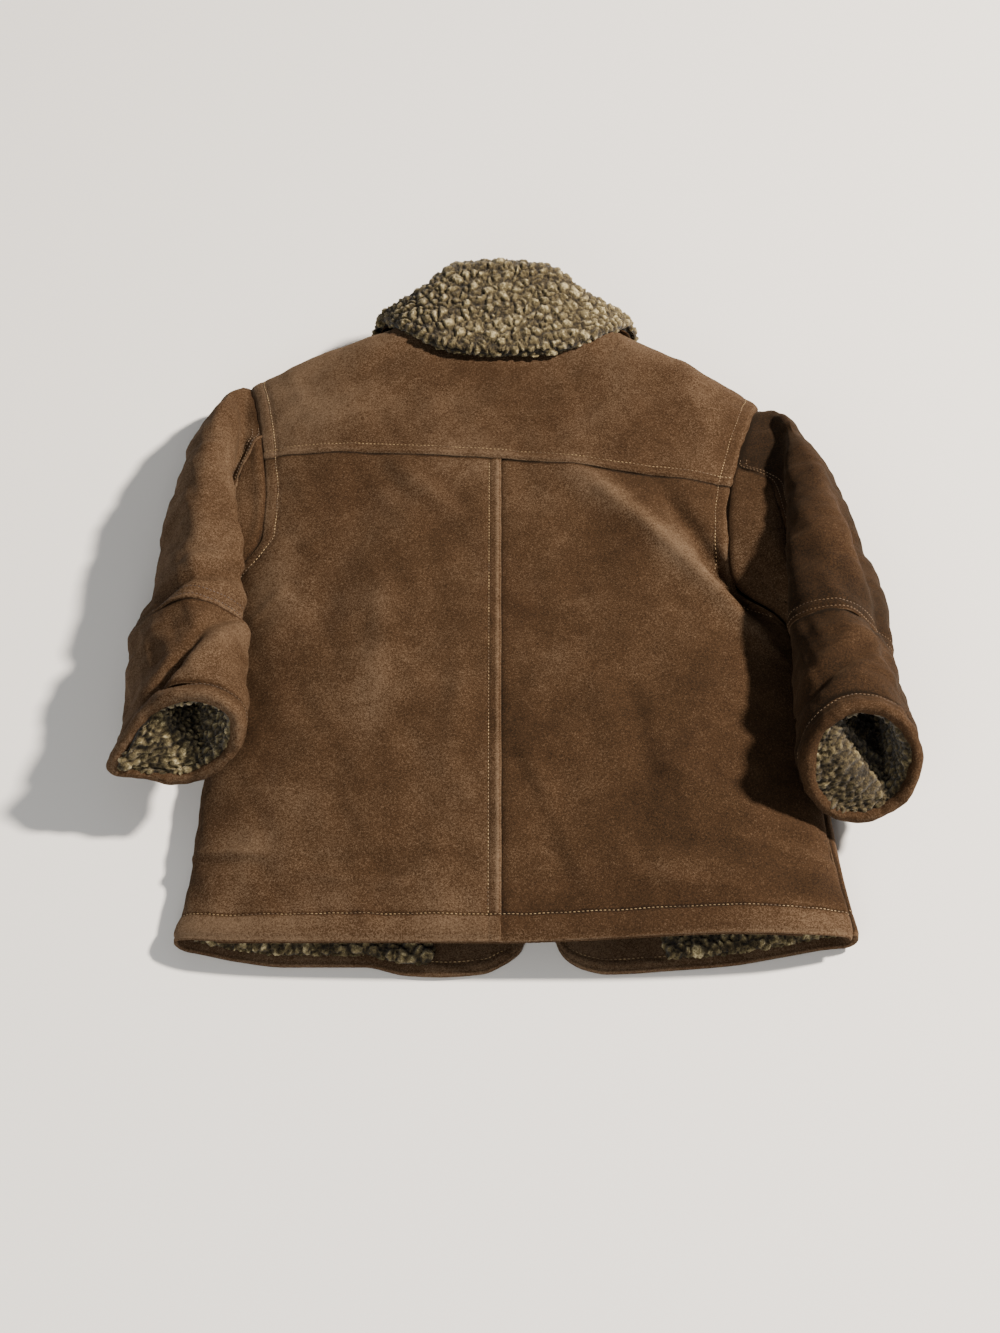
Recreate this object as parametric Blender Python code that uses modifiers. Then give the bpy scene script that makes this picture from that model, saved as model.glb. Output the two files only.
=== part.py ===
"""Child's suede jacket with a curly pile lining and collar, laid flat on its front.

X runs across the jacket, Y runs up the back from the hem to the collar and Z is up. The
fronts lie on the ground and the back is on top. Sizes in the tables are millimetres,
measured from the centre-back line at the hem. The last step moves the whole jacket so
that the centre of its box stands on the origin.
"""
import math

import bmesh
import bpy
from mathutils import Vector

MM = 0.001
SUEDE = 2.0
PILE = 4.5
COLLAR_PILE = 8.0
UNDER_COLLAR = 1.2
COLLAR_GAP = 1.4
SEAM_GAP = 0.4
SLEEVE_GAP = 1.1
CORNER_GAP = 9.0
LAYER_GAP = 0.5
SHOULDER_ROLL = 42.0
SHOULDER_SEAM_BACK = 15.0
FRONT_TOP = 430.0
CUFF_WALL = 8.5
CUFF_DEPTH = 16.0
SIGN = {"left": -1.0, "right": 1.0}


def table(columns, *rows):
    """A table with named columns, the first of which is the key."""
    names = columns.split()
    return {name: [row[i] for row in rows] for i, name in enumerate(names)}


# The body: distance of each side edge from the centre back, height of the crown, how
# much higher the right half lies, and height of the rounded side edge.
BODY = table(
    "y    left  right crown rise edge",
    (-12, 203, 221, 29, 8, 10),
    (12, 198, 217, 32, 7, 11),
    (34, 193, 213, 34, 7, 11),
    (60, 190, 209, 38, 5, 12),
    (100, 187, 205, 42, 4, 12),
    (180, 184.5, 198, 46, 3, 12),
    (240, 183.5, 192, 48, 1, 12),
    (300, 182, 188, 50, 0, 13),
    (400, 178, 182, 51, 0, 15),
    (460, 174, 178, 51, 0, 17),
    (530, 170, 174, 51, 0, 17),
)
CROWN_POWER = {"left": 3.0, "right": 4.5}

# Shoulder line as seen from above; near the neck it runs on past the neckline.
SHOULDER = table(
    "x     y",
    (-175, 457),
    (-130, 481),
    (-85, 498),
    (-66, 510),
    (-40, 540),
    (0, 560),
    (45, 540),
    (74, 506),
    (96, 491),
    (140, 466),
    (180, 439),
)
# Back neckline of the yoke, up to where it meets the shoulder line.
NECKLINE = table(
    "x     y",
    (-75, 501),
    (-62, 490),
    (-40, 480),
    (0, 476),
    (42, 479),
    (66, 488),
    (82, 499),
)
YOKE_SEAM = table(
    "x     y",
    (-175, 381),
    (-100, 376),
    (-50, 371),
    (0, 367),
    (50, 361),
    (100, 354),
    (175, 348),
)
# Lower edges: the back hem, and the fronts with their rounded corners.
HEM_BACK = table(
    "x     y",
    (-200, 12),
    (-161, 4),
    (-99, 1),
    (0, 0),
    (68, 1),
    (132, 3),
    (182, 5),
    (218, 10),
)
HEM_FRONT = {
    "left": table(
        "x     y",
        (-199, 12),
        (-180, 8),
        (-159, 3),
        (-129, -1),
        (-82, -1),
        (-56, -7),
        (-37, -8),
        (-11, -6),
        (3, 1),
        (12, 9),
        (16, 19),
    ),
    "right": table(
        "x     y",
        (33, 19),
        (36, 10),
        (41, 3),
        (51, -3),
        (64, -6),
        (108, -3),
        (139, 0),
        (170, 6),
        (201, 12),
        (218, 13),
    ),
}
# Front edges either side of the opening, and the front neckline above them.
FRONT_EDGE = {
    "left": table("y x", (-10, 16), (120, 13), (300, 8), (440, 4)),
    "right": table("y x", (-10, 33), (120, 26), (300, 18), (440, 13)),
}
FRONT_NECK = table(
    "x     drop",
    (0, 0),
    (30, 3),
    (52, 12),
    (68, 28),
    (80, 52),
)
# Armholes: how far in from the side edge the back and the front are cut.
ARMHOLE = {
    "left": table(
        "y    back front",
        (272, 0, 0),
        (279, 6, 7),
        (287, 12, 13),
        (298, 21, 19),
        (310, 25.5, 24),
        (330, 26, 26),
        (355, 24, 26),
        (380, 20, 23),
        (404, 16, 20),
        (430, 10, 14),
        (457, 3, 5),
        (470, 2, 3),
    ),
    "right": table(
        "y    back front",
        (238, 0, 0),
        (247, 13, 10),
        (256, 28, 21),
        (266, 37, 31),
        (280, 40, 36),
        (312, 38, 38),
        (343, 33, 35),
        (371, 25, 30),
        (397, 17, 22),
        (425, 7, 11),
        (441, 2, 4),
        (460, 2, 3),
    ),
}
# Side seams: how far up over the edge from the side's outermost line.
SIDE_SEAM = {
    "left": table("y over", (-12, 0), (272, 0)),
    "right": table("y over", (-12, 10), (51, 9), (90, 12), (180, 10), (238, 0)),
}
# Soft folds on the upper side: a ridge or trough from (x0, y0) to (x1, y1).
FOLDS = table(
    "row  x0   y0   x1   y1   width height",
    (0, 68, 337, 161, 234, 12, 6.5),
    (1, 114, 326, 161, 246, 9, -7),
    (2, -87, 357, -110, 252, 16, -3),
    (3, -110, 252, -122, 168, 16, -2.5),
    (4, -143, 315, -142, 219, 14, 2),
    (5, -190, 72, -140, 66, 12, 3),
    (6, 96, 44, 150, 42, 12, 2.5),
)

# Upper sleeves by station, inner end to lower end: the start of the top sleeve, the
# valley of its pleat, the fold beside the body, the crest, the outer edge, the ground.
# Distances from the centre back are for either side, outwards.
TOP_SLEEVE = {
    "left": table(
        "y sx sz vx vz fx fz cx cz ox oz gx gz ex ez",
        (455, 171.6, 24, 172.6, 24.5, 173.6, 25, 174.6, 24, 176, 20, 175, 15, 172, 12),
        (446, 170.5, 30, 174, 27, 178, 29, 182, 31, 188, 24, 184, 9, 170, 7),
        (430, 168.5, 35, 175, 29, 181, 37, 187, 42, 195, 29, 188, 5, 165.5, 4),
        (405, 163.5, 38, 174, 31, 180, 44, 191, 51, 203, 31, 194, 2, 160, 1.5),
        (385, 168.5, 36, 176, 33, 178.5, 47, 193, 56, 210, 32, 199, 0.5, 177, 0.2),
        (366, 174, 36, 180, 33, 177.5, 50, 195, 60, 213, 32, 203, 0, 184, 0),
        (345, 178, 36, 182, 34, 176, 52, 196, 63, 217, 32, 206, 0, 187, 0),
        (315, 180, 36, 181, 36, 172.5, 54, 197, 66, 222, 32, 210, 0, 186, 0),
        (290, 178, 37, 177, 40, 169, 55, 197, 69, 224, 33, 212, 0, 191, 0),
        (262, 173, 37, 171, 42, 167, 54, 196, 71, 226, 34, 215, 0, 196, 0),
        (228, 170, 37, 167, 43, 165, 52, 197, 73, 237, 35, 222, 0, 204, 0),
    ),
    "right": table(
        "y sx sz vx vz fx fz cx cz ox oz gx gz ex ez",
        (441, 176, 14, 177, 15, 178.5, 15.5, 180, 14.5, 182, 13, 180, 10, 176, 8),
        (425, 175.5, 30, 181, 29, 185, 30, 189, 32, 194, 25, 189, 7, 171, 5),
        (410, 170, 36, 184, 34, 189.5, 42, 195, 43, 202, 29, 195, 4, 166, 3),
        (391, 164.5, 39, 186.5, 41, 191.5, 50, 198, 52, 207, 31, 200, 1.5, 162, 1),
        (371, 161, 41, 187, 44, 190.5, 57, 202, 60, 216, 32, 206, 0.3, 163, 0.2),
        (349, 180, 45, 187.5, 47, 188.5, 60, 206, 66, 228, 33, 216, 0, 178, 0),
        (325, 184, 47, 188, 50, 187.5, 63, 208, 72, 234, 34, 221, 0, 190, 0),
        (298, 188, 46, 189.5, 49, 186.5, 66, 210, 76, 238, 35, 225, 0, 200, 0),
        (268, 190, 42, 189.5, 45, 185.5, 71, 213, 80, 246, 37, 231, 0, 208, 0),
        (238, 190, 37, 187, 43, 185, 72, 215, 83, 250, 38, 234, 0, 214, 0),
        (210, 189, 37, 186, 43, 184.5, 71, 216, 83, 249, 38, 234, 0, 217, 0),
    ),
}
UNDER_BACK_SEAM = {"left": 405.0, "right": 371.0}
UNDER_FRONT_SEAM = {"left": 400.0, "right": 371.0}
# Inner wall of the sleeve at the elbow seam, from its back seam to its front seam.
ELBOW_INNER = {
    "left": table("row x z", (0, 170, 37), (1, 180, 30), (2, 189, 24), (3, 193, 9), (4, 204, 0)),
    "right": table("row x z", (0, 189, 37), (1, 197, 29), (2, 203, 20), (3, 206, 8), (4, 217, 0)),
}
# Cuff mouths: centre, half width, half height, rise of the axis, turn outwards, roll.
CUFF = {
    "left": {"x": 196.0, "y": 120.0, "z": 66.0, "wide": 43.0, "high": 30.0,
             "rise": 32.0, "turn": 6.0, "roll": 30.0, "point": 0.16, "taper": 0.45},
    "right": {"x": 220.0, "y": 103.0, "z": 65.5, "wide": 37.5, "high": 40.5,
              "rise": 32.0, "turn": 6.0, "roll": 0.0, "point": 0.03, "taper": 0.0},
}

# Collar from the centre back round the neck to the front edge: where it is sewn on,
# the top of its roll and the edge of its fall.
COLLAR_PATH = table(
    "row sx   sy   sz  rx   ry   rz  fx   fy   fz",
    (0, 0, 478.5, 46.5, 0, 527, 66, 0, 458, 54.3),
    (1, 28, 480, 46, 27, 526, 64, 32, 462, 53.8),
    (2, 50, 487, 43, 53, 513, 54, 60, 479, 55),
    (2.5, 60, 493, 39.5, 64, 514, 47, 74, 494, 50.5),
    (3, 67, 502, 31, 75, 518, 36, 84, 509, 39),
    (4, 72, 507, 23, 79, 518, 22, 87, 510, 22),
    (5, 70, 500, 15, 77, 513, 11, 86, 500, 8.6),
    (6, 52, 466, 15, 60, 490, 9, 70, 448, 8.2),
    (7, 22, 446, 17, 28, 472, 10, 34, 420, 8.2),
)
COLLAR_STRETCH = {"left": 0.97, "right": 1.06}
COLLAR_LIFT = 12.0


def ease(value):
    """0 below 0, 1 above 1 and a soft step between."""
    value = min(max(value, 0.0), 1.0)
    return value * value * (3.0 - 2.0 * value)


def read(rows, column, at):
    """Smooth value of a column where the key column has the value at."""
    keys = next(iter(rows.values()))
    values = rows[column]
    if keys[0] > keys[-1]:
        keys = keys[::-1]
        values = values[::-1]
    if at <= keys[0]:
        return float(values[0])
    if at >= keys[-1]:
        return float(values[-1])
    i = max(k for k in range(len(keys) - 1) if keys[k] <= at)
    steps = [(values[k + 1] - values[k]) / (keys[k + 1] - keys[k]) for k in range(len(keys) - 1)]

    def slope(k):
        if k == 0:
            return steps[0]
        if k == len(keys) - 1:
            return steps[-1]
        if steps[k - 1] * steps[k] <= 0:
            return 0.0
        return 2.0 * steps[k - 1] * steps[k] / (steps[k - 1] + steps[k])

    width = keys[i + 1] - keys[i]
    t = (at - keys[i]) / width
    return (
        values[i] * (1 + 2 * t) * (1 - t) ** 2
        + slope(i) * width * t * (1 - t) ** 2
        + values[i + 1] * t * t * (3 - 2 * t)
        + slope(i + 1) * width * t * t * (t - 1)
    )


def lengths(points):
    """Running length along a line of points."""
    total = [0.0]
    for a, b in zip(points, points[1:]):
        total.append(total[-1] + (Vector(b) - Vector(a)).length)
    return total


def point_at(points, marks, at):
    """The point of a line where its marks reach the value at."""
    for k in range(len(points) - 1):
        if marks[k + 1] >= at:
            part = (at - marks[k]) / max(marks[k + 1] - marks[k], 1e-9)
            return Vector(points[k]).lerp(Vector(points[k + 1]), max(part, 0.0))
    return Vector(points[-1])


def spaced(points, count):
    """A line resampled to count points at even distances."""
    marks = lengths(points)
    return [point_at(points, marks, marks[-1] * k / (count - 1)) for k in range(count)]


def rounded(points, steps=8):
    """A smooth line through a few points."""
    points = [Vector(p) for p in points]
    ends = [points[0] * 2 - points[1]] + points + [points[-1] * 2 - points[-2]]
    line = []
    for k in range(1, len(ends) - 2):
        a, b, c, d = ends[k - 1:k + 3]
        for step in range(steps):
            t = step / steps
            line.append(
                (b * 2 + (c - a) * t + (a * 2 - b * 5 + c * 4 - d) * t * t
                 + (b * 3 - a - c * 3 + d) * t ** 3) * 0.5
            )
    line.append(points[-1])
    return line


def on_ground(line, least=0.0):
    """A line kept from dipping below the ground."""
    return [Vector((p.x, p.y, max(p.z, least))) for p in line]


def folds(x, y):
    """Height that the soft folds add at a place on the back."""
    total = 0.0
    for k in FOLDS["row"]:
        start = Vector((FOLDS["x0"][k], FOLDS["y0"][k]))
        run = Vector((FOLDS["x1"][k], FOLDS["y1"][k])) - start
        place = Vector((x, y)) - start
        along = place.dot(run) / run.length_squared
        across = (place - run * along).length
        ends = ease(1.0 - abs(along - 0.5) + 0.25) * math.exp(-max(abs(along - 0.5) - 0.5, 0) ** 2 * 12)
        total += FOLDS["height"][k] * ends * math.exp(-((across / FOLDS["width"][k]) ** 2))
    return total


def side_of(x):
    return "left" if x < 0 else "right"


def ground(x, y):
    """Height of the fronts above the ground, where they lie on the front collar."""
    return COLLAR_LIFT * ease((y - 380.0) / 34.0) * ease((128.0 - abs(x)) / 30.0)


def back_height(x, y):
    """Height of the upper skin of the back and yoke."""
    side = side_of(x)
    half = read(BODY, side, y)
    edge = read(BODY, "edge", y)
    crown = read(BODY, "crown", y) + read(BODY, "rise", y) * ease(x / 150.0)
    across = max(1.0 - (min(abs(x) / half, 1.0)) ** CROWN_POWER[side], 0.0) ** 0.5
    inside = min(max((read(SHOULDER, "y", x) - y) / SHOULDER_ROLL, 0.0), 1.0)
    fall = max(1.0 - (1.0 - inside) ** 3, 0.0) ** 0.5
    return edge + ((crown - edge) + folds(x, y)) * across * fall


def side_section(side, y):
    """Outer skin at a station, with marks that grow from the side edge to the top.

    The marks are negative round the edge and along the ground to the front edge."""
    sign = SIGN[side]
    half = read(BODY, side, y)
    edge = read(BODY, "edge", y)
    top = [(sign * half * (1 - (k / 36) ** 2), y, 0) for k in range(0, 37)]
    top = [(x, y, back_height(x, y)) for x, y, _ in top]
    under = [
        (sign * (half - edge + edge * math.cos(a)), y, edge * (1 - math.sin(a)))
        for a in [math.pi / 2 * k / 10 for k in range(0, 11)]
    ]
    stop = read(FRONT_EDGE[side], "x", y)
    start = under[-1][0]
    under += [(start + (stop - start) * k / 24, y, 0.0) for k in range(1, 25)]
    under = [(x, y, max(z, ground(x, y)) if abs(x) < half - edge else z) for x, y, z in under]
    marks = [-m for m in lengths(under)][::-1] + lengths(top)[1:]
    return under[::-1] + top[1:], marks


def mark_over(side, y, x):
    """Mark of the upper skin at a distance x from the centre back."""
    points, marks = side_section(side, y)
    for k in range(len(points) - 1):
        if marks[k] >= 0.0 and abs(points[k + 1][0]) <= x:
            run = abs(points[k][0]) - abs(points[k + 1][0])
            part = (abs(points[k][0]) - x) / max(run, 1e-9)
            return marks[k] + (marks[k + 1] - marks[k]) * min(max(part, 0.0), 1.0)
    return marks[-1]


def back_edge(side, y):
    """Mark at which the back panel or yoke ends, at the side seam or the armhole."""
    if y <= ARMHOLE[side]["y"][0]:
        return read(SIDE_SEAM[side], "over", y)
    return mark_over(side, y, edge_x(side, y, "back"))


def edge_x(side, y, which):
    """Distance from the centre back of an armhole edge."""
    return read(BODY, side, y) - read(ARMHOLE[side], which, y)


def mesh_object(name, points, faces, material):
    mesh = bpy.data.meshes.new(name)
    mesh.from_pydata([Vector(p) * MM for p in points], [], faces)
    mesh.update()
    thing = bpy.data.objects.new(name, mesh)
    PARTS.objects.link(thing)
    mesh.materials.append(material)
    mesh.shade_smooth()
    return thing


def grid_faces(rows, columns, closed=False, flip=False):
    """Four-sided faces between rows of points, and round a closed row."""
    faces = []
    for r in range(rows - 1):
        for c in range(columns if closed else columns - 1):
            d = (c + 1) % columns
            face = (r * columns + c, r * columns + d, (r + 1) * columns + d, (r + 1) * columns + c)
            faces.append(face[::-1] if flip else face)
    return faces


def cloth(name, grid, material, thickness=SUEDE, closed=False, flip=False):
    """A piece of cloth: rows of points on its outer face, with a wall inside them."""
    rows = len(grid)
    columns = len(grid[0])
    points = [p for row in grid for p in row]
    thing = mesh_object(name, points, grid_faces(rows, columns, closed, flip), material)
    wall = thing.modifiers.new("wall", "SOLIDIFY")
    wall.thickness = thickness * MM
    wall.offset = -1.0
    wall.use_even_offset = False
    wall.use_quality_normals = True
    return thing


def lined_cloth(name, grid, material, thickness=SUEDE):
    """A piece whose wall follows given normals, so that it meets its neighbour squarely."""
    outer = [[p for p, _ in row] for row in grid]
    inner = [[p - n * thickness for p, n in row] for row in grid]
    return solid_between(name, outer, inner, material)


def finish(name, colour, roughness):
    material = bpy.data.materials.new(name)
    material.use_nodes = True
    shader = material.node_tree.nodes["Principled BSDF"]
    shader.inputs["Base Color"].default_value = (*colour, 1.0)
    shader.inputs["Roughness"].default_value = roughness
    shader.inputs["Metallic"].default_value = 0.0
    return material


def suede(name):
    return finish(name, (0.110, 0.060, 0.032), 0.95)


def curly(name):
    return finish(name, (0.205, 0.165, 0.085), 1.0)


def back_point(side, y, mark):
    points, marks = side_section(side, y)
    return point_at(points, marks, mark)


def skin_normal(side, y, mark):
    """Outward normal of the body's outer skin at a station and mark."""
    across = back_point(side, y, mark + 1.5) - back_point(side, y, mark - 1.5)
    along = back_point(side, y + 1.5, mark) - back_point(side, y - 1.5, mark)
    normal = across.cross(along).normalized()
    return normal if side == "left" else -normal


BACK_ROWS = [0.0, 0.05, 0.13, 0.25, 0.38, 0.5, 0.6, 0.68, 0.72, 0.77, 0.85, 0.93, 1.0]
BACK_COLUMNS = [0.0, 0.16, 0.32, 0.47, 0.61, 0.74, 0.85, 0.94, 1.0]


def back_grid(side):
    """Points and normals of a lower back panel, from the hem up and the centre out."""
    rows = []
    for v in BACK_ROWS:
        row = []
        for u in BACK_COLUMNS:
            x = 0.0
            for _ in range(6):
                low = read(HEM_BACK, "y", x)
                high = read(YOKE_SEAM, "y", x) - SEAM_GAP / 2
                y = low + (high - low) * v
                points, marks = side_section(side, y)
                start = marks[-1] - SEAM_GAP / 2
                stop = back_edge(side, y) + SEAM_GAP
                mark = start + u * (stop - start)
                place = point_at(points, marks, mark)
                x = place.x
            row.append((place, skin_normal(side, y, mark)))
        rows.append(row)
    return rows


def back_panel(side):
    """Lower back: hem to yoke seam, centre-back seam to side seam and armhole."""
    lined_cloth(f"back_{side}", back_grid(side), suede(f"suede back {side}"))


def moved(grid, depth):
    """A grid of points and normals moved in along the normals."""
    return [[(p - n * depth, n) for p, n in row] for row in grid]


def back_layers():
    """Turned hem and pile lining, made from the points of the two back panels."""
    left, right = back_grid("left"), back_grid("right")
    whole = [a[:0:-1] + b for a, b in zip(left, right)]
    inner = moved(whole, SUEDE + LAYER_GAP * 2.6)
    hem = [row[2:-2] for row in inner[:2]]
    lined_cloth("hem_turn_back", hem, suede("suede back hem"))
    lining = [row[2:-2] for row in inner[1:]]
    lining[0] = [(p + Vector((0, SEAM_GAP, 0)), n) for p, n in lining[0]]
    lining[-1] = [(p - Vector((0, SEAM_GAP, 0)), n) for p, n in lining[-1]]
    lined_cloth("lining_back", lining, curly("pile back"), PILE)


YOKE_ROWS = [0.0, 0.22, 0.43, 0.6, 0.73, 0.82, 0.89, 0.95, 1.0]


def yoke_grid():
    """Points and normals of the yoke; its columns meet those of the back panels."""
    columns = []
    for side in ("left", "right"):
        for place, _ in back_grid(side)[-1]:
            columns.append(place.x / (edge_x(side, place.y, "back") - SEAM_GAP / 2))
    columns = columns[8::-1] + columns[10:]
    lines = []
    for u in columns:
        side = side_of(u)

        def across(y, u=u, side=side):
            return u * (edge_x(side, y, "back") - SEAM_GAP / 2)

        seam = read(YOKE_SEAM, "y", across(360.0)) + SEAM_GAP / 2
        neck = NECKLINE["x"][0] if u < 0 else NECKLINE["x"][-1]
        wraps = abs(across(450.0)) >= abs(neck)
        top = read(SHOULDER if wraps else NECKLINE, "y", across(460.0))
        if wraps:
            for _ in range(4):
                top = read(SHOULDER, "y", across(top - SHOULDER_SEAM_BACK))
        line = []
        for k in range(31):
            y = seam + (top - seam) * (1 - (1 - k / 30) ** 2)
            line.append(Vector((across(y), y, back_height(across(y), y))))
        edge = line[-1].z
        floor = ground(line[-1].x, top - SHOULDER_SEAM_BACK)
        for k in range(1, 13 if wraps else 1):
            a = math.pi / 2 * k / 12
            y = top - SHOULDER_SEAM_BACK * (1 - math.cos(a))
            line.append(Vector((across(y), y, edge - (edge - floor) * math.sin(a))))
        lines.append(line)
    rows = []
    for v in YOKE_ROWS:
        rows.append([point_at(line, lengths(line), lengths(line)[-1] * v) for line in lines])
    normals = normal_grid(rows)
    for c, line in enumerate(lines):
        x, y, _ = line[0]
        slope_x = back_height(x + 1, y) - back_height(x - 1, y)
        slope_y = back_height(x, y + 1) - back_height(x, y - 1)
        normals[0][c] = Vector((-slope_x / 2, -slope_y / 2, 1.0)).normalized()
    return [list(zip(row, turned)) for row, turned in zip(rows, normals)]


def yoke():
    """Yoke across both shoulders, cut out at the neck, and the pile under it."""
    grid = yoke_grid()
    lined_cloth("back_yoke", grid, suede("suede yoke"))
    lining = [row[2:-2] for row in moved(grid, SUEDE + LAYER_GAP)[:5]]
    lining[0] = [(p + Vector((0, SEAM_GAP, 0)), n) for p, n in lining[0]]
    lined_cloth("lining_yoke", lining, curly("pile yoke"), PILE)


def front_top(x):
    """Upper end of a front: its neckline, or the shoulder seam on the underside."""
    if abs(x) < 80.0:
        return FRONT_TOP + read(FRONT_NECK, "drop", abs(x))
    shoulder = read(SHOULDER, "y", x) - SHOULDER_SEAM_BACK - SLEEVE_GAP
    return min(shoulder, FRONT_TOP + read(FRONT_NECK, "drop", abs(x)) + (abs(x) - 80.0) * 4.0)


def front_start(side, y):
    """Mark at which a front begins: side seam, or the front half of the armhole."""
    if y <= ARMHOLE[side]["y"][0]:
        return read(SIDE_SEAM[side], "over", y) - SEAM_GAP * 1.5
    return -read(ARMHOLE[side], "front", y) * 1.15 - SEAM_GAP


FRONT_ROWS = [0.0, 0.045, 0.12, 0.28, 0.45, 0.54, 0.59, 0.64, 0.7, 0.78, 0.86, 0.94, 1.0]
FRONT_COLUMNS = {
    "left": [0.0, 0.035, 0.07, 0.105, 0.15, 0.34, 0.53, 0.72, 0.87, 0.95, 1.0],
    "right": [0.0, 0.035, 0.07, 0.105, 0.17, 0.32, 0.48, 0.64, 0.81, 0.93, 1.0],
}
LINING_COLUMN = 4
FACING_COLUMN = 7


def front_grid(side):
    """Points and normals of a front, from the hem up and the side seam in."""
    rows = []
    for v in FRONT_ROWS:
        row = []
        for u in FRONT_COLUMNS[side]:
            x = SIGN[side] * 100.0
            for _ in range(6):
                y = read(HEM_FRONT[side], "y", x) * (1 - v) + front_top(x) * v
                points, marks = side_section(side, y)
                begin = front_start(side, y)
                mark = begin + u * (marks[0] - begin)
                place = point_at(points, marks, mark)
                x = place.x
            row.append((place, skin_normal(side, y, mark)))
        rows.append(row)
    return rows


def front_pieces(side):
    """Front, on the ground and up round the side, and the layers on its inner face."""
    grid = front_grid(side)
    lined_cloth(f"front_{side}", grid, suede(f"suede front {side}"))
    inner = moved(grid, SUEDE + LAYER_GAP)
    facing = [row[FACING_COLUMN:] for row in inner]
    lined_cloth(f"facing_{side}", facing, suede(f"suede facing {side}"))
    inner = [row[LINING_COLUMN:FACING_COLUMN + 1] for row in inner]
    inner = [row[:-1] + [(row[-1][0].lerp(row[-2][0], 0.02), row[-1][1])] for row in inner]
    lined_cloth(f"hem_turn_{side}", inner[:2], suede(f"suede hem {side}"))
    lining = inner[1:-1]
    lining[0] = [(p + Vector((0, SEAM_GAP, 0)), n) for p, n in lining[0]]
    lined_cloth(f"lining_front_{side}", lining, curly(f"pile front {side}"), PILE)


def sleeve_row(side, y):
    """Top sleeve at a station, from its back seam over the arm to its front seam.

    Above the ends of the under sleeve it starts and stops on the armhole."""
    rows = TOP_SLEEVE[side]
    line = [Vector((SIGN[side] * read(rows, a + "x", y), y, read(rows, a + "z", y))) for a in "svfcoge"]
    if y >= UNDER_BACK_SEAM[side]:
        line[0] = armhole_point(side, y, "back")
    if y >= UNDER_FRONT_SEAM[side]:
        line[-1] = armhole_point(side, y, "front")
    return line


def armhole_point(side, y, which):
    """Edge of the sleeve on its armhole, on the back or the front."""
    points, marks = side_section(side, y)
    if which == "back":
        return point_at(points, marks, back_edge(side, y) - SLEEVE_GAP * 2.8)
    return point_at(points, marks, front_start(side, y) + SLEEVE_GAP * 4.3)


def top_sleeve(side):
    rows = TOP_SLEEVE[side]
    high = rows["y"][0]
    low = rows["y"][-1] + SEAM_GAP
    grid = []
    for k in range(13):
        y = high + (low - high) * k / 12
        grid.append(spaced(on_ground(rounded(sleeve_row(side, y))), 15))
    return cloth(f"top_sleeve_{side}", grid, suede(f"suede top sleeve {side}"), flip=side == "right")


def armhole_line(side, first, last):
    """Armhole from a height on the back, round the underarm, to one on the front."""
    sign = SIGN[side]
    under = ARMHOLE[side]["y"][0]
    back = [first + (under - first) * (1 - (1 - k / 20) ** 2) for k in range(21)]
    front = [under + (last - under) * (k / 20) ** 2 for k in range(1, 21)]
    line = [armhole_point(side, y, "back") for y in back]
    line += [armhole_point(side, y, "front") for y in front]
    return [Vector((p.x + sign * SEAM_GAP, p.y, p.z)) for p in line]


def under_sleeve(side):
    """Under sleeve: stretched between armhole, both sleeve seams and elbow seam."""
    sign = SIGN[side]
    count = 13
    steps = 9
    low = TOP_SLEEVE[side]["y"][-1] + LAYER_GAP * 2
    high_back = UNDER_BACK_SEAM[side] - CORNER_GAP
    high_front = UNDER_FRONT_SEAM[side] - CORNER_GAP
    arm = spaced(armhole_line(side, high_back, high_front), count)
    inner = ELBOW_INNER[side]
    elbow = rounded([(sign * inner["x"][k], low, inner["z"][k]) for k in inner["row"]])
    elbow = spaced(on_ground(elbow), count)

    def seam(column, first, last):
        line = []
        for k in range(41):
            y = first + (last - first) * k / 40
            here = on_ground(rounded(sleeve_row(side, y)))
            a, b = (here[0], here[1]) if column == "s" else (here[-1], here[-2])
            line.append(a + (a - b).normalized() * SLEEVE_GAP * 2.4)
        return spaced(line, steps)

    back = seam("s", high_back, low)
    front = seam("e", high_front, low)
    back = [p + (arm[0] - back[0]) * (1 - k / (steps - 1)) ** 4 for k, p in enumerate(back)]
    front = [p + (arm[-1] - front[0]) * (1 - k / (steps - 1)) ** 4 for k, p in enumerate(front)]
    lead = back[-1] - elbow[0]
    trail = front[-1] - elbow[-1]
    elbow = [
        p + lead * (1 - c / (count - 1)) ** 3 + trail * (c / (count - 1)) ** 3
        for c, p in enumerate(elbow)
    ]
    grid = []
    for k in range(steps):
        v = k / (steps - 1)
        row = []
        for c in range(count):
            u = c / (count - 1)
            ruled = arm[c] * (1 - v) + elbow[c] * v
            swept = back[k] * (1 - u) + front[k] * u
            corners = (
                (arm[0] * (1 - u) + arm[-1] * u) * (1 - v)
                + (elbow[0] * (1 - u) + elbow[-1] * u) * v
            )
            row.append(ruled + swept - corners)
        grid.append(on_ground(row, 0.5))
    return cloth(f"under_sleeve_{side}", grid, suede(f"suede under sleeve {side}"), flip=side == "left")


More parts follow.
